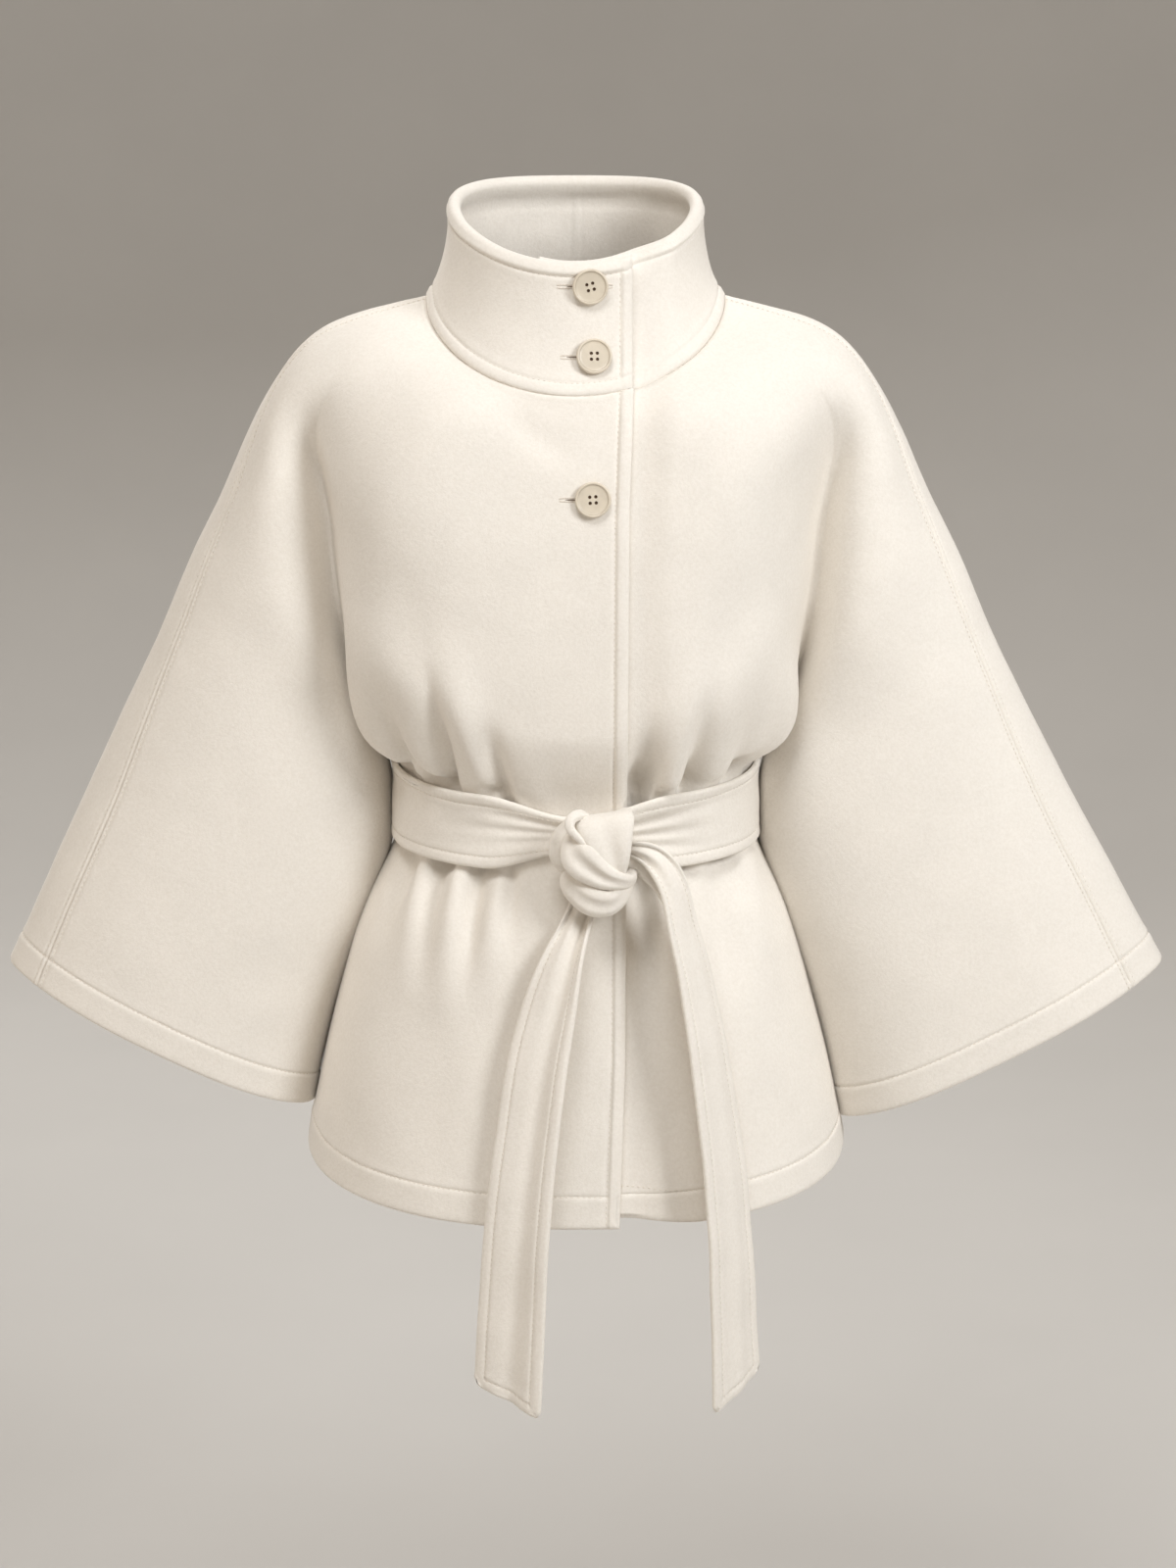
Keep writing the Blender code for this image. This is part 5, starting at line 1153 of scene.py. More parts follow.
# === closed pieces of cloth
class Cloth:
    """One panel's points, with its thickness and relief, and its faces."""

    def __init__(self, garment):
        self.points, self.normals = garment.points.copy(), garment.normals.copy()
        turned_up = smoothstep((TURN_UP - garment.to_hem) / TURN_OVER)
        self.thick = (CLOTH + (HEM_THICK - CLOTH) * turned_up) * garment.reach
        self.lift = garment.relief()
        self.free = np.zeros(len(self.points), bool)
        self.faces = []

    def add_points(self, points, normals, thick, lift, first):
        """Number new points whose first column is there already."""
        ids = len(self.points) + np.arange(points.shape[0] * points.shape[1])
        ids = ids.reshape(points.shape[:2])
        self.points = np.concatenate((self.points, points.reshape(-1, 3)))
        self.normals = np.concatenate((self.normals, normals.reshape(-1, 3)))
        self.thick = np.concatenate((self.thick, thick.ravel()))
        self.lift = np.concatenate((self.lift, lift.ravel()))
        self.free = np.concatenate((self.free, np.zeros(ids.size, bool)))
        ids[:, 0] = first
        return ids

    def surface(self, ids):
        """The outer surface's points and directions over a table of point numbers."""
        normals = self.normals[ids]
        return self.points[ids] + normals * self.lift[ids][:, :, None], normals

    def stitched_hem(self, ids):
        points, normals = self.surface(ids)
        return level_line(points, normals, distance_along(points, 0, True), HEM_STITCH)

    def stitched_side(self, ids, last):
        points, normals = self.surface(ids)
        return cross_line(points, normals, distance_along(points, 1, last), SEAM_STITCH)

    def solid(self, name, material):
        faces = np.concatenate(self.faces)
        used, compact = np.unique(faces, return_inverse=True)
        faces = compact.reshape(faces.shape)
        base, ways = self.points[used], self.normals[used]
        outer = base + ways * self.lift[used][:, None]
        inner = base - ways * self.thick[used][:, None]
        return closed_wall(name, outer, inner, faces, self.free[used], material)


def closed_wall(name, outer, inner, faces, free, material):
    """A closed piece of cloth between two surfaces, with its free edges rounded."""
    count = len(outer)
    edges = np.concatenate([faces[:, [k, (k + 1) % 4]] for k in range(4)])
    forward = edges[:, 0] * count + edges[:, 1]
    backward = edges[:, 1] * count + edges[:, 0]
    border = edges[~np.isin(forward, backward)]
    outward = np.zeros((count, 3))
    for a, b in border:
        if free[a] and free[b]:
            way = unit(np.cross(outer[b] - outer[a], outer[a] - inner[a]))
            outward[a] += way
            outward[b] += way
    outward = unit(outward)
    half = np.linalg.norm(outer - inner, axis=1, keepdims=True) / 2
    outer, inner = outer - outward * half, inner - outward * half
    middle = (outer + inner) / 2
    turns = np.pi * np.arange(1, RIM_STEPS + 1)[:, None] / (RIM_STEPS + 1)
    points, rims, total = [outer, inner], {}, 2 * count
    for number in np.nonzero(outward.any(axis=1))[0]:
        points.append(middle[number] + (outer[number] - middle[number]) * np.cos(turns)
                      + outward[number] * half[number] * np.sin(turns))
        rims[number] = list(range(total, total + RIM_STEPS))
        total += RIM_STEPS
    walls = [tuple(face) for face in faces.tolist()]
    walls += [tuple(face[::-1]) for face in (faces + count).tolist()]
    for a, b in border.tolist():
        one = [a] + rims.get(a, []) + [a + count]
        two = [b] + rims.get(b, []) + [b + count]
        if len(one) == len(two):
            walls += [(two[k], one[k], one[k + 1], two[k + 1]) for k in range(len(one) - 1)]
        else:
            walls.append(tuple(one[::-1] + two))
    return build_object(name, np.concatenate(points), walls, [material])


def build_object(name, points, faces, materials):
    """An object whose mesh has the points (in centimetres) and faces."""
    mesh = bpy.data.meshes.new(name)
    mesh.from_pydata((np.asarray(points, float) * CM).tolist(), [], faces)
    mesh.validate()
    thing = link_object(name, mesh, materials)
    mesh.shade_smooth()
    return thing


def link_object(name, data, materials=()):
    for material in materials:
        data.materials.append(material)
    thing = bpy.data.objects.new(name, data)
    bpy.context.scene.collection.objects.link(thing)
    return thing


# === the panels
def lap_edge(height):
    """How far out the top front's edge lies at a height."""
    rows = sorted(LAP_EDGE)
    return np.interp(height, [row[0] for row in rows], [row[1] for row in rows])


def lap_columns(garment, side, edge_of, lines):
    """Columns on one side's front, at set distances from an edge past the middle."""
    ids = garment.ids[side, "front_body"]
    points, normals = garment.flat_points[ids], garment.flat_normals[ids]
    lap_points, lap_normals, away = [], [], []
    for row, row_normals in zip(points, normals):
        out = np.abs(row[:LAP_COLUMNS, 0])
        edge = edge_of(row[0, 2])
        at = edge - np.array(lines) * min(1.0, (edge - LAP_ROOM) / lines[0])
        lap_points.append(np.concatenate((row[:1], spline(out, row[:LAP_COLUMNS], at))))
        blend = unit(spline(out, row_normals[:LAP_COLUMNS], at))
        lap_normals.append(np.concatenate((row_normals[:1], blend)))
        away.append(np.concatenate(([edge], edge - at)))
    return np.array(lap_points), np.array(lap_normals), np.array(away), ids


def under_offset(across, edge, room):
    """How far the under layer lies below the surface, at a distance across the front."""
    return room * (1 - smoothstep((across - edge - LAP_LEVEL) / LAP_SLOPE))


def raise_hem(points):
    """Draw the under front's lowest rows up near the lap, most at the hem itself."""
    edge = lap_edge(points[-1, 0, 2])
    room = smoothstep((HEM_RAISE_TO - points[-1, :, 0]) / (HEM_RAISE_TO - edge))

    def places(left):
        return left + HEM_RAISE * np.clip(1 - left / RAISE_OVER, 0, 1) ** 2 * room
    return read_columns(points, places)


def top_lap(cloth, garment):
    """The right front's strip past the middle, with its turned and stitched edge."""
    points, normals, away, ids = lap_columns(garment, LEFT, lap_edge, EDGE_LINES)
    points = points - normals * folds_depth(points, FRONT_FOLDS, FREE_FOLDS)[:, :, None]
    turned_in = smoothstep((EDGE_TURN - away) / EDGE_TURN_OVER)
    thick = np.maximum(cloth.thick[ids[:, :1]], CLOTH + (EDGE_THICK - CLOTH) * turned_in)
    to_hem = distance_along(points, 0, True)
    lift = uneven(points, PANEL_WAVES) + seam_relief(distance_along(points, 0))
    lift += stitch_relief(to_hem, HEM_STITCH) * past(away, EDGE_STITCH - STITCH_FADE)
    lift += stitch_relief(away, EDGE_STITCH)
    lift += np.maximum(HEM_SWELL * strip_relief(to_hem, HEM_STITCH),
                       EDGE_SWELL * strip_relief(away, EDGE_STITCH))
    return points, normals, thick, lift, away


def under_lap(cloth, garment, body):
    """The left front's strip past the middle. It and the cloth beside it lie lower."""
    lines = np.linspace(UNDERLAP_EDGE - UNDERLAP_SHORT, 0, UNDERLAP_COLUMNS)
    points, normals, away, _ = lap_columns(garment, RIGHT, lambda height: UNDERLAP_EDGE, lines)
    room = EDGE_THICK + UNDERLAP_ROOM
    points, beside = raise_hem(points), raise_hem(cloth.points[body])
    edges = lap_edge(beside[:, :1, 2])
    sink = under_offset(beside[:, :, 0], edges, room)
    cloth.points[body] = beside - cloth.normals[body] * sink[:, :, None]
    points -= normals * under_offset(points[:, :, 0], edges, room)[:, :, None]
    return points, normals, np.full(away.shape, CLOTH), np.zeros(away.shape), away


def make_front(garment, side, name, material):
    cloth = Cloth(garment)
    body, sleeve = garment.ids[side, "front_body"], garment.ids[side, "front_sleeve"]
    if side == RIGHT:
        *strip, away = top_lap(cloth, garment)
    else:
        *strip, away = under_lap(cloth, garment, body)
    lap = cloth.add_points(*strip, body[:, 0])
    cloth.faces = [patch_faces(body, side == RIGHT), patch_faces(sleeve, side == RIGHT),
                   patch_faces(lap, side == LEFT)]
    for ids in (body[-1], sleeve[-1], lap[-1], lap[:, -1]):
        cloth.free[ids] = True
    rows = [cloth.stitched_hem(body), cloth.stitched_hem(sleeve),
            cloth.stitched_side(sleeve, True)]
    if side == RIGHT:
        rows.append(cloth.stitched_hem(lap[:, away[-1] >= EDGE_STITCH]))
        rows.append(cross_line(*cloth.surface(lap), away, EDGE_STITCH))
    return cloth.solid(name, material), rows


def make_back(garment, name, material):
    cloth, rows = Cloth(garment), []
    for side in (RIGHT, LEFT):
        for part in ("back_body", "back_sleeve"):
            ids = garment.ids[side, part]
            cloth.faces.append(patch_faces(ids, side == RIGHT))
            cloth.free[ids[-1]] = True
            rows.append(cloth.stitched_hem(ids))
        rows.append(cloth.stitched_side(garment.ids[side, "back_sleeve"], False))
    return cloth.solid(name, material), rows


# === the collar
def rim_height(reach):
    """Height of the rim where the outline's forward share is reach, 1 in front, -1 behind."""
    middle = (RIM_FRONT + RIM_BACK) / 2
    return middle + (RIM_FRONT - RIM_BACK) / 2 * reach + (RIM_SIDE - middle) * (1 - reach ** 2)


def collar_point(angle, share):
    """A point of the collar: angle 0 is the middle of the front, share 0 the neck seam."""
    out, reach = math.sin(angle), math.cos(angle)
    foot = np.array(neck_point(abs(math.asin(out)) / (math.pi / 2), reach < 0,
                               1 if out >= 0 else -1))
    rim_reach = RIM_FORWARD if reach > 0 else RIM_BACKWARD
    rim = np.array((RIM_HALF_WIDTH * out, -rim_reach * reach, rim_height(reach)))
    lean = (1 - share) ** COLLAR_FLARE
    point = rim + (foot - rim) * lean
    point[2] = foot[2] + (rim[2] - foot[2]) * share
    return point


def grid_faces(points, flip):
    """Four-sided faces over a table of points."""
    rows, columns = points.shape[:2]
    return patch_faces(np.arange(rows * columns).reshape(rows, columns), flip)


def grid_normals(points, flip):
    """Directions out of the surface over a table of points."""
    return point_normals(points.reshape(-1, 3), grid_faces(points, flip)).reshape(points.shape)


def grid_wall(name, outer, inner, flip, material, sewn_top=False):
    """A closed piece between two tables of points, with a first row that may be sewn on."""
    free = np.zeros(outer.shape[:2], bool)
    free[0] = not sewn_top
    free[-1] = free[:, 0] = free[:, -1] = True
    faces = grid_faces(outer, flip)
    return closed_wall(name, outer.reshape(-1, 3), inner.reshape(-1, 3), faces, free.ravel(),
                       material)


def collar_columns():
    """Points all over the collar, from its top end round to its under end."""
    rows = []
    for share in np.linspace(0, 1, COLLAR_FINE_ROWS):
        spread = (NECK_HALF_WIDTH - RIM_HALF_WIDTH) * (1 - share) ** COLLAR_FLARE
        width = RIM_HALF_WIDTH + spread
        start = math.asin(COLLAR_END / width)
        stop = -2 * math.pi + math.asin(COLLAR_UNDER_END / width)
        even = np.linspace(start - COLLAR_EVEN_FROM / width, stop, COLLAR_STEPS)
        angles = np.concatenate(([start], start - COLLAR_END_LINES / width, even))
        rows.append([collar_point(angle, share) for angle in angles])
    return np.array(rows)


def collar_table():
    """The collar's points, with lines set close beside its foot, its stitches and its rim."""
    def places(left):
        foot = left[0] - with_columns(COLLAR_FOOT_LINES, left)
        fill = np.linspace(foot[-1], COLLAR_LINES[0], COLLAR_ROWS + 1)[1:-1]
        return np.concatenate((left[:1], foot, fill, with_columns(COLLAR_LINES, left)))
    return read_columns(collar_columns(), places)


def collar_outside(points, to_rim, to_neck, to_end):
    """The relief of the collar's outer side: its rows of stitches and the strips they hold."""
    lift = uneven(points, COLLAR_WAVES) + seam_relief(to_neck)
    lift += stitch_relief(to_rim, COLLAR_STITCH) + stitch_relief(to_neck, NECK_STITCH)
    inside = past(to_rim, COLLAR_STITCH) * past(to_neck, NECK_STITCH)
    lift += stitch_relief(to_end, EDGE_STITCH) * inside
    return lift + np.max([strip_relief(to_rim, COLLAR_STITCH), strip_relief(to_neck, NECK_STITCH),
                          COLLAR_SWELL * strip_relief(to_end, EDGE_STITCH)], axis=0)


def collar_inside(points, to_rim):
    """The relief of its inner side: one row of stitches, and the seam at the middle back."""
    to_seam = np.abs(points[:, :, 0]) + FAR * (points[:, :, 1] < 0)
    lift = stitch_relief(to_rim, COLLAR_INSIDE_STITCH) + seam_relief(to_seam)
    lift += uneven(points, COLLAR_INSIDE_WAVES)
    return lift * past(to_rim, COLLAR_INSIDE_FROM, COLLAR_INSIDE_OVER)


def make_collar(name, material):
    points = collar_table()
    normals = grid_normals(points, False)
    normals[0] = [neck_normal(point) for point in points[0]]
    to_rim, to_neck = distance_along(points, 0, True), distance_along(points, 0)
    roll = smoothstep(1 - (to_rim - RIM_FULL) / RIM_DEEP)
    roll = roll * (RIM_END + (1 - RIM_END) * smoothstep(distance_along(points, 1) / RIM_DEEP))
    thick = COLLAR_CLOTH + (RIM_THICK - COLLAR_CLOTH) * roll
    last = points.shape[1] - 1
    under = (np.arange(last + 1) > last * COLLAR_UNDER_FROM) & (points[:, :, 1] < 0)
    sink = under_offset(points[:, :, 0], COLLAR_END, thick + COLLAR_ROOM)
    points = points - normals * np.where(under, sink, 0.0)[:, :, None]
    to_end = distance_along(points, 1)
    outer = points + normals * collar_outside(points, to_rim, to_neck, to_end)[:, :, None]
    thick = thick - np.where(under, 0.0, collar_inside(points, to_rim))
    shown = (to_end[0] > EDGE_STITCH) & ~under.any(axis=0)
    middle = (to_rim.max(axis=1) > COLLAR_STITCH) & (to_neck.max(axis=1) > NECK_STITCH)
    rows = [level_line(outer, normals, to_rim, COLLAR_STITCH, shown),
            level_line(outer, normals, to_neck, NECK_STITCH, shown),
            cross_line(outer, normals, to_end, EDGE_STITCH, middle)]
    inner = points - normals * thick[:, :, None]
    return grid_wall(name, outer, inner, False, material, sewn_top=True), rows


# === the belt
BELT_FOLDS = (
    Fold(12.5, -34.6, 3.2, -36.6, 0.28, 0.30),
    Fold(11.0, -36.9, 3.2, -37.2, 0.26, 0.28),
    Fold(10.5, -38.5, 3.2, -37.7, 0.28, 0.26),
    Fold(-8.5, -35.0, 0.2, -36.7, 0.26, 0.28),
    Fold(-10.0, -36.6, 0.2, -37.0, 0.26, 0.26),
    Fold(-8.0, -38.0, 0.2, -37.3, 0.26, 0.22),
)


def belt_columns(garment, side, start):
    """Points of the band on one side, front to back, from a distance out at the front."""
    skin, bands = garment.skins[side], []
    for name in ("front_body", "back_body"):
        knots, stations = skin.knots[name], skin.stations[name]
        top, middle, foot = (skin.height_row(name, section)
                             for section in ("belt top", "waist", "belt foot"))
        _, around = garment.waist_line(side, name)
        share = belt_squeeze(around - start) if name == "front_body" else np.ones(len(around))
        levels = np.linspace(top, foot, BELT_FINE_ROWS) - middle
        bands.append(np.array([spline(knots, stations[:, j], middle + levels * share[j])
                               for j in range(len(share))]))
    front, back = bands
    out = np.abs(front[:, 0, 0])
    keep = int(np.searchsorted(out, start + BELT_START_ROOM))
    near = slice(0, BELT_START_POINTS)
    return np.concatenate((spline(out[near], front[near], [start]), front[keep:], back[1:]))


def edge_lines(share):
    """Distances of the lines of points from an edge, where a strip is drawn narrower."""
    lines = np.array(BELT_LINES)
    lines[:-1] = lines[-2] + (lines[:-1] - lines[-2]) * share
    return lines


def even_band(columns):
    """The band's points, with its lines beside both edges of every column."""
    band = []
    for column in columns:
        along = chord_knots(column)
        lines = edge_lines(min(1.0, along[-1] / (2 * BELT_HALF)))
        middle = np.linspace(lines[0], along[-1] - lines[0], BELT_ROWS)
        at = np.concatenate((lines[::-1], middle[1:-1], along[-1] - lines))
        band.append(read_along(at, along, column))
    return np.stack(band, axis=1)


def make_belt_band(garment, name, material):
    right = belt_columns(garment, RIGHT, BELT_RIGHT_START)
    left = belt_columns(garment, LEFT, BELT_LEFT_START)
    points = even_band(np.concatenate((right, left[::-1][1:])))
    normals = grid_normals(points, True)
    near = np.clip(1 - np.abs(points[:, :, 0] - KNOT_AT) / BELT_SQUEEZE_LENGTH, 0, 1)
    points = points + normals * (near * (points[:, :, 1] < 0) * BELT_BUNCH)[:, :, None]
    to_edges = [distance_along(points, 0), distance_along(points, 0, True)]
    scale = np.minimum(1.0, to_edges[0][-1] / (2 * BELT_HALF))
    to_edges = [away / scale for away in to_edges]
    lift = scale ** BELT_SQUEEZE_FADE * sum(stitch_relief(away, BELT_STITCH) for away in to_edges)
    lift += uneven(points, BELT_WAVES) - folds_depth(points, BELT_FOLDS)
    inner = points + normals * BELT_GAP
    outer = inner + normals * (BELT_CLOTH + lift)[:, :, None]
    rows = [level_line(outer, normals, away, BELT_STITCH) for away in to_edges]
    return grid_wall(name, outer, inner, True, material), rows


def tail_path(rows):
    """Middle points, widths, directions across and out, and shares of the way down a tail."""
    table = np.array(rows, float)
    centre = table[:, :3] * (1, -1, 1)
    knots = chord_knots(centre)
    lines = knots[-1] - np.array(BELT_LINES)
    at = np.concatenate((np.linspace(0, lines[0], TAIL_ROWS + 1), lines[1:]))
    path = spline(knots, centre, at)
    width, turn, lean = spline(knots, table[:, 3:], at).T
    turn, lean = np.radians(turn), np.radians(lean)
    level = np.stack((np.cos(turn), -np.sin(turn), 0 * turn), axis=1)
    side = level * np.cos(lean)[:, None] + np.array((0, 0, 1.0)) * np.sin(lean)[:, None]
    along = unit(np.gradient(path, axis=0))
    side = unit(side - along * np.sum(side * along, axis=1, keepdims=True))
    return path, width, side, np.cross(along, side), at / knots[-1]


def tail_surface(rows, slant):
    """A hanging end's points and directions out, and where across and down each one lies."""
    path, width, side, face, down = tail_path(rows)
    across = []
    for wide in width:
        near = edge_lines(min(1.0, wide / TAIL_WIDE))
        middle = np.linspace(near[0], wide - near[0], TAIL_COLUMNS)
        across.append(np.concatenate((near[::-1], middle[1:-1], wide - near)))
    across, width, down = np.array(across), width[:, None], down[:, None]
    points = path[:, None] + side[:, None] * (across - width / 2)[:, :, None]
    points[:, :, 2] -= down ** TAIL_SLANT_AT * (2 * across / width - 1) * slant
    near_side = np.clip(np.minimum(across, width - across), 0, TAIL_CORNER)
    round_off = TAIL_CORNER - np.sqrt(TAIL_CORNER ** 2 - (TAIL_CORNER - near_side) ** 2)
    near_end = np.clip(1 - distance_along(points, 0, True) / BELT_LINES[0], 0, 1)
    points[:, :, 2] += round_off * near_end
    return points, np.repeat(face[:, None], across.shape[1], axis=1), across, width, down


def make_tail(end, name, material):
    points, normals, across, width, down = tail_surface(end.rows, end.slant)
    scale = np.minimum(1.0, width / TAIL_WIDE)
    to_sides = [across / scale, (width - across) / scale]
    to_end = distance_along(points, 0, True)
    before = BELT_STITCH - STITCH_FADE
    lift = sum(stitch_relief(away, BELT_STITCH) for away in to_sides) * past(to_end, before)
    inside = past(to_sides[0], before) * past(to_sides[1], before)
    lift += stitch_relief(to_end, BELT_STITCH) * inside
    share = 2 * across / width - 1
    bend = end.fold * bell(share - TAIL_FOLD_AT + TAIL_FOLD_DRIFT * down, TAIL_FOLD_WIDTH)
    pleat = TAIL_PLEAT * np.cos(share * TAIL_PLEAT_TURN + TAIL_PLEAT_START)
    bend += pleat * (1 - smoothstep(down / TAIL_PLEAT_TO))
    bend += uneven(points, [Wave(TAIL_WAVE, end.start, TAIL_WAVE_HEIGHT)])
    inner = points + normals * (bend - BELT_CLOTH / 2)[:, :, None]
    outer = inner + normals * (BELT_CLOTH + lift)[:, :, None]
    low = to_end.max(axis=1) >= BELT_STITCH
    middle = np.all([away.min(axis=0) >= BELT_STITCH for away in to_sides], axis=0)
    rows = [cross_line(outer, normals, away, BELT_STITCH, low) for away in to_sides]
    rows.append(level_line(outer, normals, to_end, BELT_STITCH, middle))
    return grid_wall(name, outer, inner, False, material), rows


def strand_points(rows, seed):
    """Rings of points of an oval tube of bunched cloth that follows a strand's table."""
    table = np.array(rows, float)
    centre = table[:, :3] * (1, -1, 1)
    knots = chord_knots(centre)
    at = np.linspace(0, knots[-1], STRAND_RINGS + 1)
    path = spline(knots, centre, at)
    width, thick, crease = spline(knots, table[:, 3:], at).T
    along, middle = unit(np.gradient(path, axis=0)), path.mean(axis=0)
    forward = np.array((0, STRAND_FACING, 0))
    angles = 2 * math.pi * np.arange(STRAND_SIDES) / STRAND_SIDES
    level, face = np.cos(angles), np.sin(angles)
    oval_side = np.copysign(np.abs(level) ** STRAND_FLAT_SIDE, level) / 2
    oval_face = np.copysign(np.abs(face) ** STRAND_FLAT_FACE, face) / 2
    rings = []
    for i, spot in enumerate(path):
        out = spot - middle - forward
        out = unit(out - along[i] * np.dot(out, along[i])) - forward
        out = unit(out - along[i] * np.dot(out, along[i]))
        side = np.cross(along[i], out)
        end = min(1.0, min(i, STRAND_RINGS - i) / (STRAND_CLOSE * STRAND_RINGS))
        close = STRAND_END + (1 - STRAND_END) * math.sqrt(1 - (1 - end) ** 2)
        turns = STRAND_RIPPLES * angles + STRAND_TURN * seed + STRAND_TWIST * i
        wide = oval_side * width[i] * (1 + STRAND_RIPPLE * np.sin(turns))
        dent = crease[i] * np.maximum(0.0, face) * bell(level, STRAND_CREASE)
        deep = oval_face * thick[i] - dent
        ring = spot + close * (wide[:, None] * side + deep[:, None] * out)
        wave = uneven(ring, [Wave(STRAND_WAVE, seed, STRAND_WAVE_HEIGHT)])
        rings.append(ring + wave[:, None] * out)
    return np.concatenate(rings)


def make_knot(name, material):
    turns = (KNOT_CORE, KNOT_LOOP, KNOT_LIP, KNOT_SWEEP, KNOT_BULGE, KNOT_LOBE, KNOT_UNDER)
    strands = [strand_points(rows, seed) for seed, rows in enumerate(turns)]
    rings = np.arange(len(strands[0])).reshape(-1, STRAND_SIDES)
    faces = []
    for number, strand in enumerate(strands):
        faces += [face[::-1] for face in tube_faces(rings + number * len(strand))]
    return build_object(name, np.concatenate(strands), faces, [material])


# === the buttons
def tree_of(thing):
    """A search tree of an object's faces, in centimetres."""
    points = [vertex.co / CM for vertex in thing.data.vertices]
    return BVHTree.FromPolygons(points, [tuple(face.vertices) for face in thing.data.polygons])


def seat_on(tree, across, height):
    """Where a flat disc rests on a cloth object, seen from the front, and its direction."""
    turns = 2 * np.pi * np.arange(SEAT_POINTS) / SEAT_POINTS
    rim = [surface_spot(tree, across + BUTTON_RADIUS * math.cos(turn),
                        height + BUTTON_RADIUS * math.sin(turn))[0] for turn in turns]
    place = np.mean(rim, axis=0)
    way = unit(sum(np.cross(one - place, other - place)
                   for one, other in zip(rim, rim[1:] + rim[:1])))
    middle, _ = surface_spot(tree, across, height)
    lift = max(np.dot(point - place, way) for point in rim + [middle])
    return place + way * lift, way


def button_profile():
    """Outline of the turned button, from the middle of its back to the middle of its face."""
    inner, dish = BUTTON_RADIUS - BUTTON_RIM, BUTTON_THICK - BUTTON_DISH
    rows = [(0.0, 0.0)] + [(BUTTON_RADIUS - away, height) for away, height in BUTTON_BACK]
    for turn in np.linspace(0, math.pi, BUTTON_ROLL_STEPS + 1):
        rows.append((BUTTON_RADIUS - BUTTON_ROLL_IN + BUTTON_ROLL * math.cos(turn),
                     BUTTON_THICK - BUTTON_ROLL + BUTTON_ROLL * math.sin(turn)))
    rows += [(inner - away, dish + above) for away, above in BUTTON_FACE]
    return rows + [(0.0, dish + BUTTON_MIDDLE)]


def turned(profile, steps):
    """A mesh turned round the upright axis from points (radius, height)."""
    shape = bmesh.new()
    points = [shape.verts.new((radius, 0, height)) for radius, height in profile]
    edges = [shape.edges.new(pair) for pair in zip(points, points[1:])]
    bmesh.ops.spin(shape, geom=points + edges, cent=(0, 0, 0), axis=(0, 0, 1),
                   angle=2 * math.pi, steps=steps, use_merge=True)
    bmesh.ops.remove_doubles(shape, verts=shape.verts, dist=MERGE)
    return shape


def add_plugs(shape, foot, top, length, middle):
    """Four upright plugs where a button's holes lie."""
    for across, up in itertools.product((-1, 1), repeat=2):
        made = bmesh.ops.create_cone(shape, cap_ends=True, segments=HOLE_SEGMENTS, radius1=foot,
                                     radius2=top, depth=length)
        bmesh.ops.translate(shape, verts=made["verts"],
                            vec=(across * HOLE_SPREAD, up * HOLE_SPREAD, middle))


def drill(disc):
    """Cut the four holes through a button."""
    plugs = bmesh.new()
    add_plugs(plugs, HOLE_RADIUS, HOLE_RADIUS, 2 * BUTTON_THICK, BUTTON_THICK / 2)
    holes = object_from(plugs, f"{disc.name}_holes", [disc.data.materials[0]])
    cut = disc.modifiers.new("thread holes", "BOOLEAN")
    cut.operation = "DIFFERENCE"
    cut.object = holes
    bake_modifiers(disc)
    bpy.data.objects.remove(holes)


def fill_holes(disc):
    """Put dark thread in the four holes, its colour also their painted shade, and bring the
    button to metres.
    """
    shape = bmesh.new()
    shape.from_mesh(disc.data)
    before = len(shape.faces)
    add_plugs(shape, HOLE_RADIUS * THREAD_FOOT, HOLE_RADIUS * THREAD_TOP,
              BUTTON_THICK * THREAD_LONG, BUTTON_THICK * THREAD_AT)
    shape.faces.ensure_lookup_table()
    for face in shape.faces[before:]:
        face.material_index = 1
    bmesh.ops.scale(shape, vec=(CM, CM, CM), verts=shape.verts)
    shape.to_mesh(disc.data)
    shape.free()


def make_button(name, horn, thread):
    """A button with four holes full of dark thread that also paints their shade, lying on its
    back at the origin.
    """
    shape = turned(button_profile(), BUTTON_SEGMENTS)
    bmesh.ops.recalc_face_normals(shape, faces=shape.faces)
    disc = object_from(shape, name, [horn, thread])
    drill(disc)
    fill_holes(disc)
    disc.data.shade_smooth()
    disc.data.set_sharp_from_angle(angle=BUTTON_SHARP)
    return disc


def place_button(disc, button, tree):
    """Move a button to its seat on the cloth, turned as it hangs there."""
    place, way = seat_on(tree, button.across, button.height)
    up = np.array((0, 0, 1.0))
    up = unit(up - way * np.dot(up, way))
    angle = math.radians(button.turn)
    first = np.cross(up, way) * math.cos(angle) + up * math.sin(angle)
    seat = (place + way * BUTTON_REST) * CM
    axes = zip(first, np.cross(way, first), way, seat)
    disc.data.transform(Matrix([*axes, (0, 0, 0, 1)]))


def object_from(shape, name, materials):
    mesh = bpy.data.meshes.new(name)
    shape.to_mesh(mesh)
    shape.free()
    return link_object(name, mesh, materials)


def bake_modifiers(thing):
    """Put what the modifiers make into the object's own mesh."""
    bpy.context.view_layer.update()
    shown = thing.evaluated_get(bpy.context.evaluated_depsgraph_get())
    mesh = bpy.data.meshes.new_from_object(shown)
    thing.modifiers.clear()
    thing.data = mesh


# === materials
WOOL = (0.905, 0.858, 0.79)
NAP_PIT_SHADE = (0.93, 0.92, 0.905)     # painted shade in the nap's pits: what it leaves of the wool's colour
HORN = (0.70, 0.62, 0.50)
# dark brown thread, which is also the painted shade in a button's holes
HOLE_THREAD_SHADE = (0.10, 0.055, 0.03)
SEWING = (0.84, 0.77, 0.68)
# painted shade inside an open buttonhole
SLIT_PAINTED_SHADE = (0.16, 0.11, 0.075)

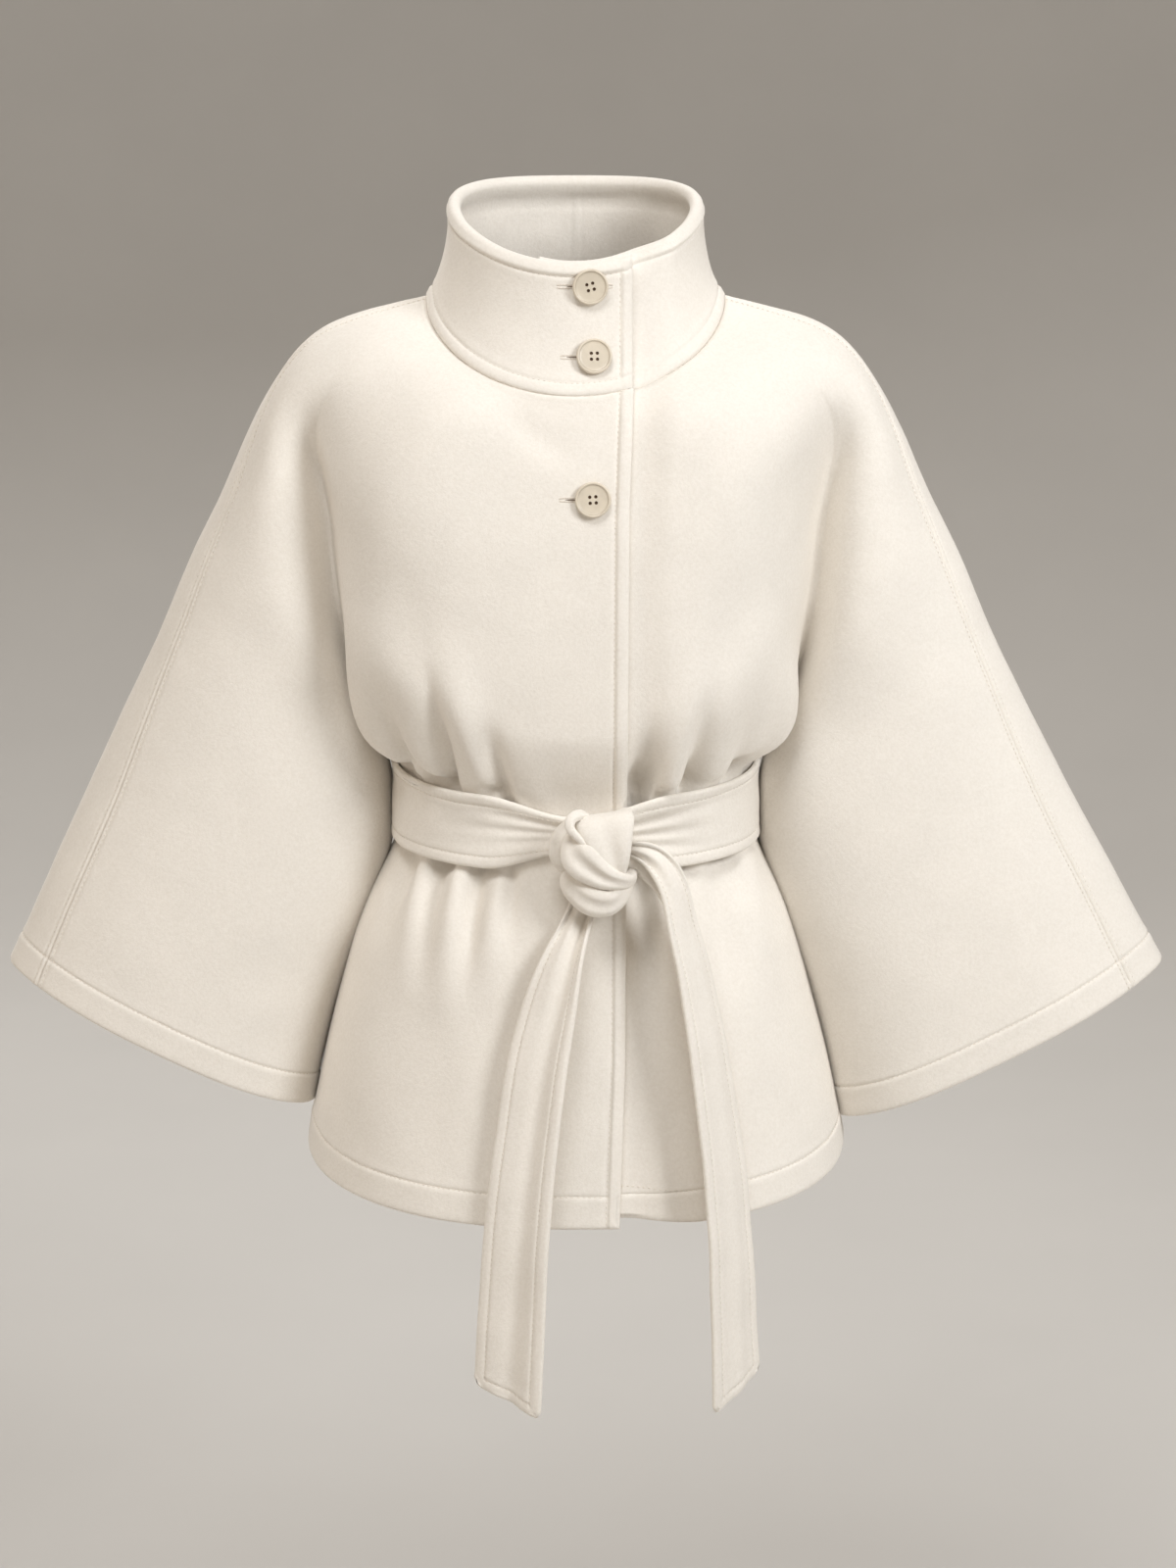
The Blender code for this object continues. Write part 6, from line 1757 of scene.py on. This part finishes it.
# The noises in the materials: their scale per metre, detail and roughness.
Noise = namedtuple("Noise", "scale detail rough")
WOOL_CLOUD, WOOL_NAP, WOOL_HAIR = Noise(26, 3, 0.5), Noise(420, 4, 0.65), Noise(1500, 3, 0.7)
HORN_CLOUD, HORN_GRAIN = Noise(120, 3, 0.5), Noise(900, 2, 0.5)
THREAD_TWIST, PAPER_GRAIN = Noise(1800, 2, 0.5), Noise(3, 2, 0.5)
# A bump that a noise gives the surface: its strength, and its height in metres.
Bump = namedtuple("Bump", "strength height")
NAP_BUMP, HAIR_BUMP = Bump(0.36, 0.0008), Bump(0.45, 0.0003)


class Paint:
    """A material and its shader, with noises that lie in the object's own coordinates."""

    def __init__(self, name, colour, **values):
        self.material = bpy.data.materials.new(name)
        self.material.use_nodes = True
        self.material.diffuse_color = (*colour, 1.0)
        self.tree = self.material.node_tree
        self.shader = self.tree.nodes["Principled BSDF"]
        self.shader.inputs["Base Color"].default_value = (*colour, 1.0)
        for key, value in values.items():
            self.shader.inputs[key.replace("_", " ")].default_value = value
        self.place = self.tree.nodes.new("ShaderNodeTexCoord").outputs["Object"]

    def add(self, kind, links, **values):
        """A new node, with values and with links into its inputs."""
        node = self.tree.nodes.new(f"ShaderNode{kind}")
        for key, value in values.items():
            node.inputs[key].default_value = value
        for key, output in links.items():
            self.tree.links.new(output, node.inputs[key])
        return node

    def noise(self, kind):
        node = self.add("TexNoise", {"Vector": self.place}, Scale=kind.scale,
                        Detail=kind.detail, Roughness=kind.rough)
        return node.outputs["Fac"]

    def ramp(self, value, low, high, start=0.3, stop=0.7):
        """Colours that run from low to high as a noise rises from start to stop."""
        node = self.add("ValToRGB", {"Fac": value})
        for element, place, colour in zip(node.color_ramp.elements, (start, stop), (low, high)):
            element.position, element.color = place, (*colour, 1.0)
        return node.outputs["Color"]

    def bump(self, height, kind, under=None):
        links = {"Height": height, "Normal": under} if under else {"Height": height}
        node = self.add("Bump", links, Strength=kind.strength, Distance=kind.height)
        return node.outputs["Normal"]

    def feed(self, key, output):
        self.tree.links.new(output, self.shader.inputs[key])


def tint(colour, share):
    return tuple(min(1.0, part * share) for part in colour)


def grey(value):
    return (value, value, value)


def make_wool(name):
    """Felted wool: a matted nap of fine fibres, softly mottled, with painted shade in the nap's
    pits.
    """
    paint = Paint(name, WOOL, Roughness=0.95, Sheen_Weight=0.22, Sheen_Roughness=0.55,
                  Specular_IOR_Level=0.18)
    cloud, nap, hair = (paint.noise(kind) for kind in (WOOL_CLOUD, WOOL_NAP, WOOL_HAIR))
    broad = paint.ramp(cloud, tint(WOOL, 0.98), tint(WOOL, 1.015))
    # painted shade: the colour is darker where the nap is low, in the same pits that its bump
    # sinks
    fine = paint.ramp(nap, NAP_PIT_SHADE, grey(1.0))
    mix = paint.add("Mix", {})
    mix.data_type, mix.blend_type = "RGBA", "MULTIPLY"
    mix.inputs["Factor"].default_value = 1.0
    first, second, product = mix.inputs[6], mix.inputs[7], mix.outputs[2]
    paint.tree.links.new(broad, first)
    paint.tree.links.new(fine, second)
    paint.feed("Base Color", product)
    paint.feed("Roughness", paint.ramp(nap, grey(1.0), grey(0.88), 0.2, 0.8))
    felt = paint.bump(nap, NAP_BUMP)
    paint.feed("Normal", paint.bump(hair, HAIR_BUMP, felt))
    return paint.material


def make_horn(name):
    """Satin pale horn, faintly clouded and turned."""
    paint = Paint(name, HORN, Roughness=0.38, Coat_Weight=0.15, Coat_Roughness=0.25)
    cloud = paint.noise(HORN_CLOUD)
    paint.feed("Base Color", paint.ramp(cloud, tint(HORN, 0.93), tint(HORN, 1.06)))
    grain = paint.noise(HORN_GRAIN)
    paint.feed("Roughness", paint.ramp(grain, grey(0.32), grey(0.46)))
    return paint.material


def make_thread(name, colour):
    """Twisted thread, darker in patches by a noise: painted shade between its strands."""
    paint = Paint(name, colour, Roughness=0.8)
    twist = paint.noise(THREAD_TWIST)
    # painted shade: the darker patches stand for the shade between the strands
    paint.feed("Base Color", paint.ramp(twist, tint(colour, 0.7), tint(colour, 1.15)))
    return paint.material


def make_paper(name):
    """The stage's matt paper."""
    paint = Paint(name, STAGE_COLOUR, Roughness=0.9)
    grain = paint.noise(PAPER_GRAIN)
    dark, light = tint(STAGE_COLOUR, 0.985), tint(STAGE_COLOUR, 1.015)
    paint.feed("Base Color", paint.ramp(grain, dark, light))
    return paint.material


# === camera, light and stage
CAMERA_TARGET = (0.009, 0.0, -0.3585)
CAMERA_DISTANCE, CAMERA_ELEVATION = 2.6, math.radians(13)
CAMERA_LENS, CAMERA_SENSOR = 80.69, 36.0
FLOOR_AT = -1.25
STAGE_RADIUS, STAGE_BEND, STAGE_HEIGHT = 5.0, 2.0, 5.5
STAGE_BEND_STEPS, STAGE_SEGMENTS = 12, 96
STAGE_COLOUR = (0.615, 0.598, 0.572)
WORLD_COLOUR, WORLD_STRENGTH = (1.0, 0.82, 0.62), 0.26

# The round lights: place, width, power and colour.
Light = namedtuple("Light", "name place size power colour")
COOL, WARM, WHITE = (0.96, 0.98, 1.0), (1.0, 0.88, 0.75), (1.0, 1.0, 1.0)
LIGHTS = (
    Light("key", (2.1, -2.0, 1.3), 1.2, 61, COOL),
    Light("top", (-0.4, -1.6, 2.6), 1.3, 47, COOL),
    Light("fill", (-2.8, -1.6, 0.3), 1.6, 14, WARM),
    Light("back", (-0.6, 2.8, 1.8), 1.8, 60, WHITE),
)


def add_camera():
    data = bpy.data.cameras.new("camera")
    data.lens = CAMERA_LENS
    data.sensor_fit = "VERTICAL"
    data.sensor_height = data.sensor_width = CAMERA_SENSOR
    camera = link_object("camera", data)
    away = Vector((0, -math.cos(CAMERA_ELEVATION), math.sin(CAMERA_ELEVATION)))
    camera.location = Vector(CAMERA_TARGET) + away * CAMERA_DISTANCE
    camera.rotation_euler = (-away).to_track_quat("-Z", "Y").to_euler()
    bpy.context.scene.camera = camera


def add_light(row):
    data = bpy.data.lights.new(row.name, "AREA")
    data.shape = "DISK"
    data.size, data.energy, data.color = row.size, row.power, row.colour
    light = link_object(row.name, data)
    light.location = row.place
    way = Vector(CAMERA_TARGET) - Vector(row.place)
    light.rotation_euler = way.to_track_quat("-Z", "Y").to_euler()


def add_stage():
    """A pale floor that curves up all round."""
    flat = STAGE_RADIUS - STAGE_BEND
    profile = [(0.0, FLOOR_AT), (flat, FLOOR_AT)]
    for k in range(1, STAGE_BEND_STEPS + 1):
        turn = math.pi / 2 * k / STAGE_BEND_STEPS
        profile.append((flat + STAGE_BEND * math.sin(turn),
                        FLOOR_AT + STAGE_BEND * (1 - math.cos(turn))))
    profile.append((STAGE_RADIUS, FLOOR_AT + STAGE_HEIGHT))
    shape = turned(profile, STAGE_SEGMENTS)
    floor = object_from(shape, "stage_floor", [make_paper("stage_paper")])
    floor.data.shade_smooth()


def add_world():
    """Soft warm light from all round."""
    world = bpy.data.worlds.new("soft light")
    bpy.context.scene.world = world
    world.use_nodes = True
    background = world.node_tree.nodes["Background"]
    background.inputs["Color"].default_value = (*WORLD_COLOUR, 1)
    background.inputs["Strength"].default_value = WORLD_STRENGTH
    bpy.context.scene.view_settings.view_transform = "Standard"


def make_sewn(garment):
    """The cloth pieces by panel, each with its rows of stitches."""
    named = {row.panel: (f"cloth_{row.panel}", make_wool(f"wool_{row.panel}")) for row in CUTS}
    return {
        "front_right": make_front(garment, RIGHT, *named["front_right"]),
        "front_left": make_front(garment, LEFT, *named["front_left"]),
        "back": make_back(garment, *named["back"]),
        "collar": make_collar(*named["collar"]),
        "belt_band": make_belt_band(garment, *named["belt_band"]),
        "belt_tail_right": make_tail(END_RIGHT, *named["belt_tail_right"]),
        "belt_tail_left": make_tail(END_LEFT, *named["belt_tail_left"]),
        "belt_knot": (make_knot(*named["belt_knot"]), []),
    }


def make_sewing(sewn, trees):
    """The stitches and the buttonholes of every panel."""
    # slit_shade is the painted shade inside the buttonholes
    thread, dark = make_thread("sewing_thread", SEWING), make_thread("slit_shade", SLIT_PAINTED_SHADE)
    added = {panel: [make_stitches(f"stitches_{panel}", rows, thread)] if rows else []
             for panel, (_, rows) in sewn.items()}
    for button in BUTTONS:
        hole = make_buttonhole(f"buttonhole_{button.name}", trees[button.panel], button, thread,
                               dark)
        added[button.panel].append(hole)
    return added


def add_buttons(trees):
    """Each button, set on the cloth that carries it."""
    hole_thread_shade = make_thread("button_thread_shade", HOLE_THREAD_SHADE)
    for button in BUTTONS:
        node = f"button_{button.name}"
        disc = make_button(f"disc_{node}", make_horn(f"horn_{node}"), hole_thread_shade)
        place_button(disc, button, trees[button.panel])
        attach(disc, "root")
        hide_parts(node)


def main():
    add_camera()
    add_stage()
    add_world()
    for row in LIGHTS:
        add_light(row)
    sewn = make_sewn(Garment())
    for panel, (piece, _) in sewn.items():
        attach(piece, "root")
        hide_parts(panel)
    trees = {panel: tree_of(sewn[panel][0]) for panel in ("collar", "front_right")}
    added = make_sewing(sewn, trees)
    for panel, extras in added.items():
        for extra in extras:
            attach(extra, "root")
    add_buttons(trees)


main()
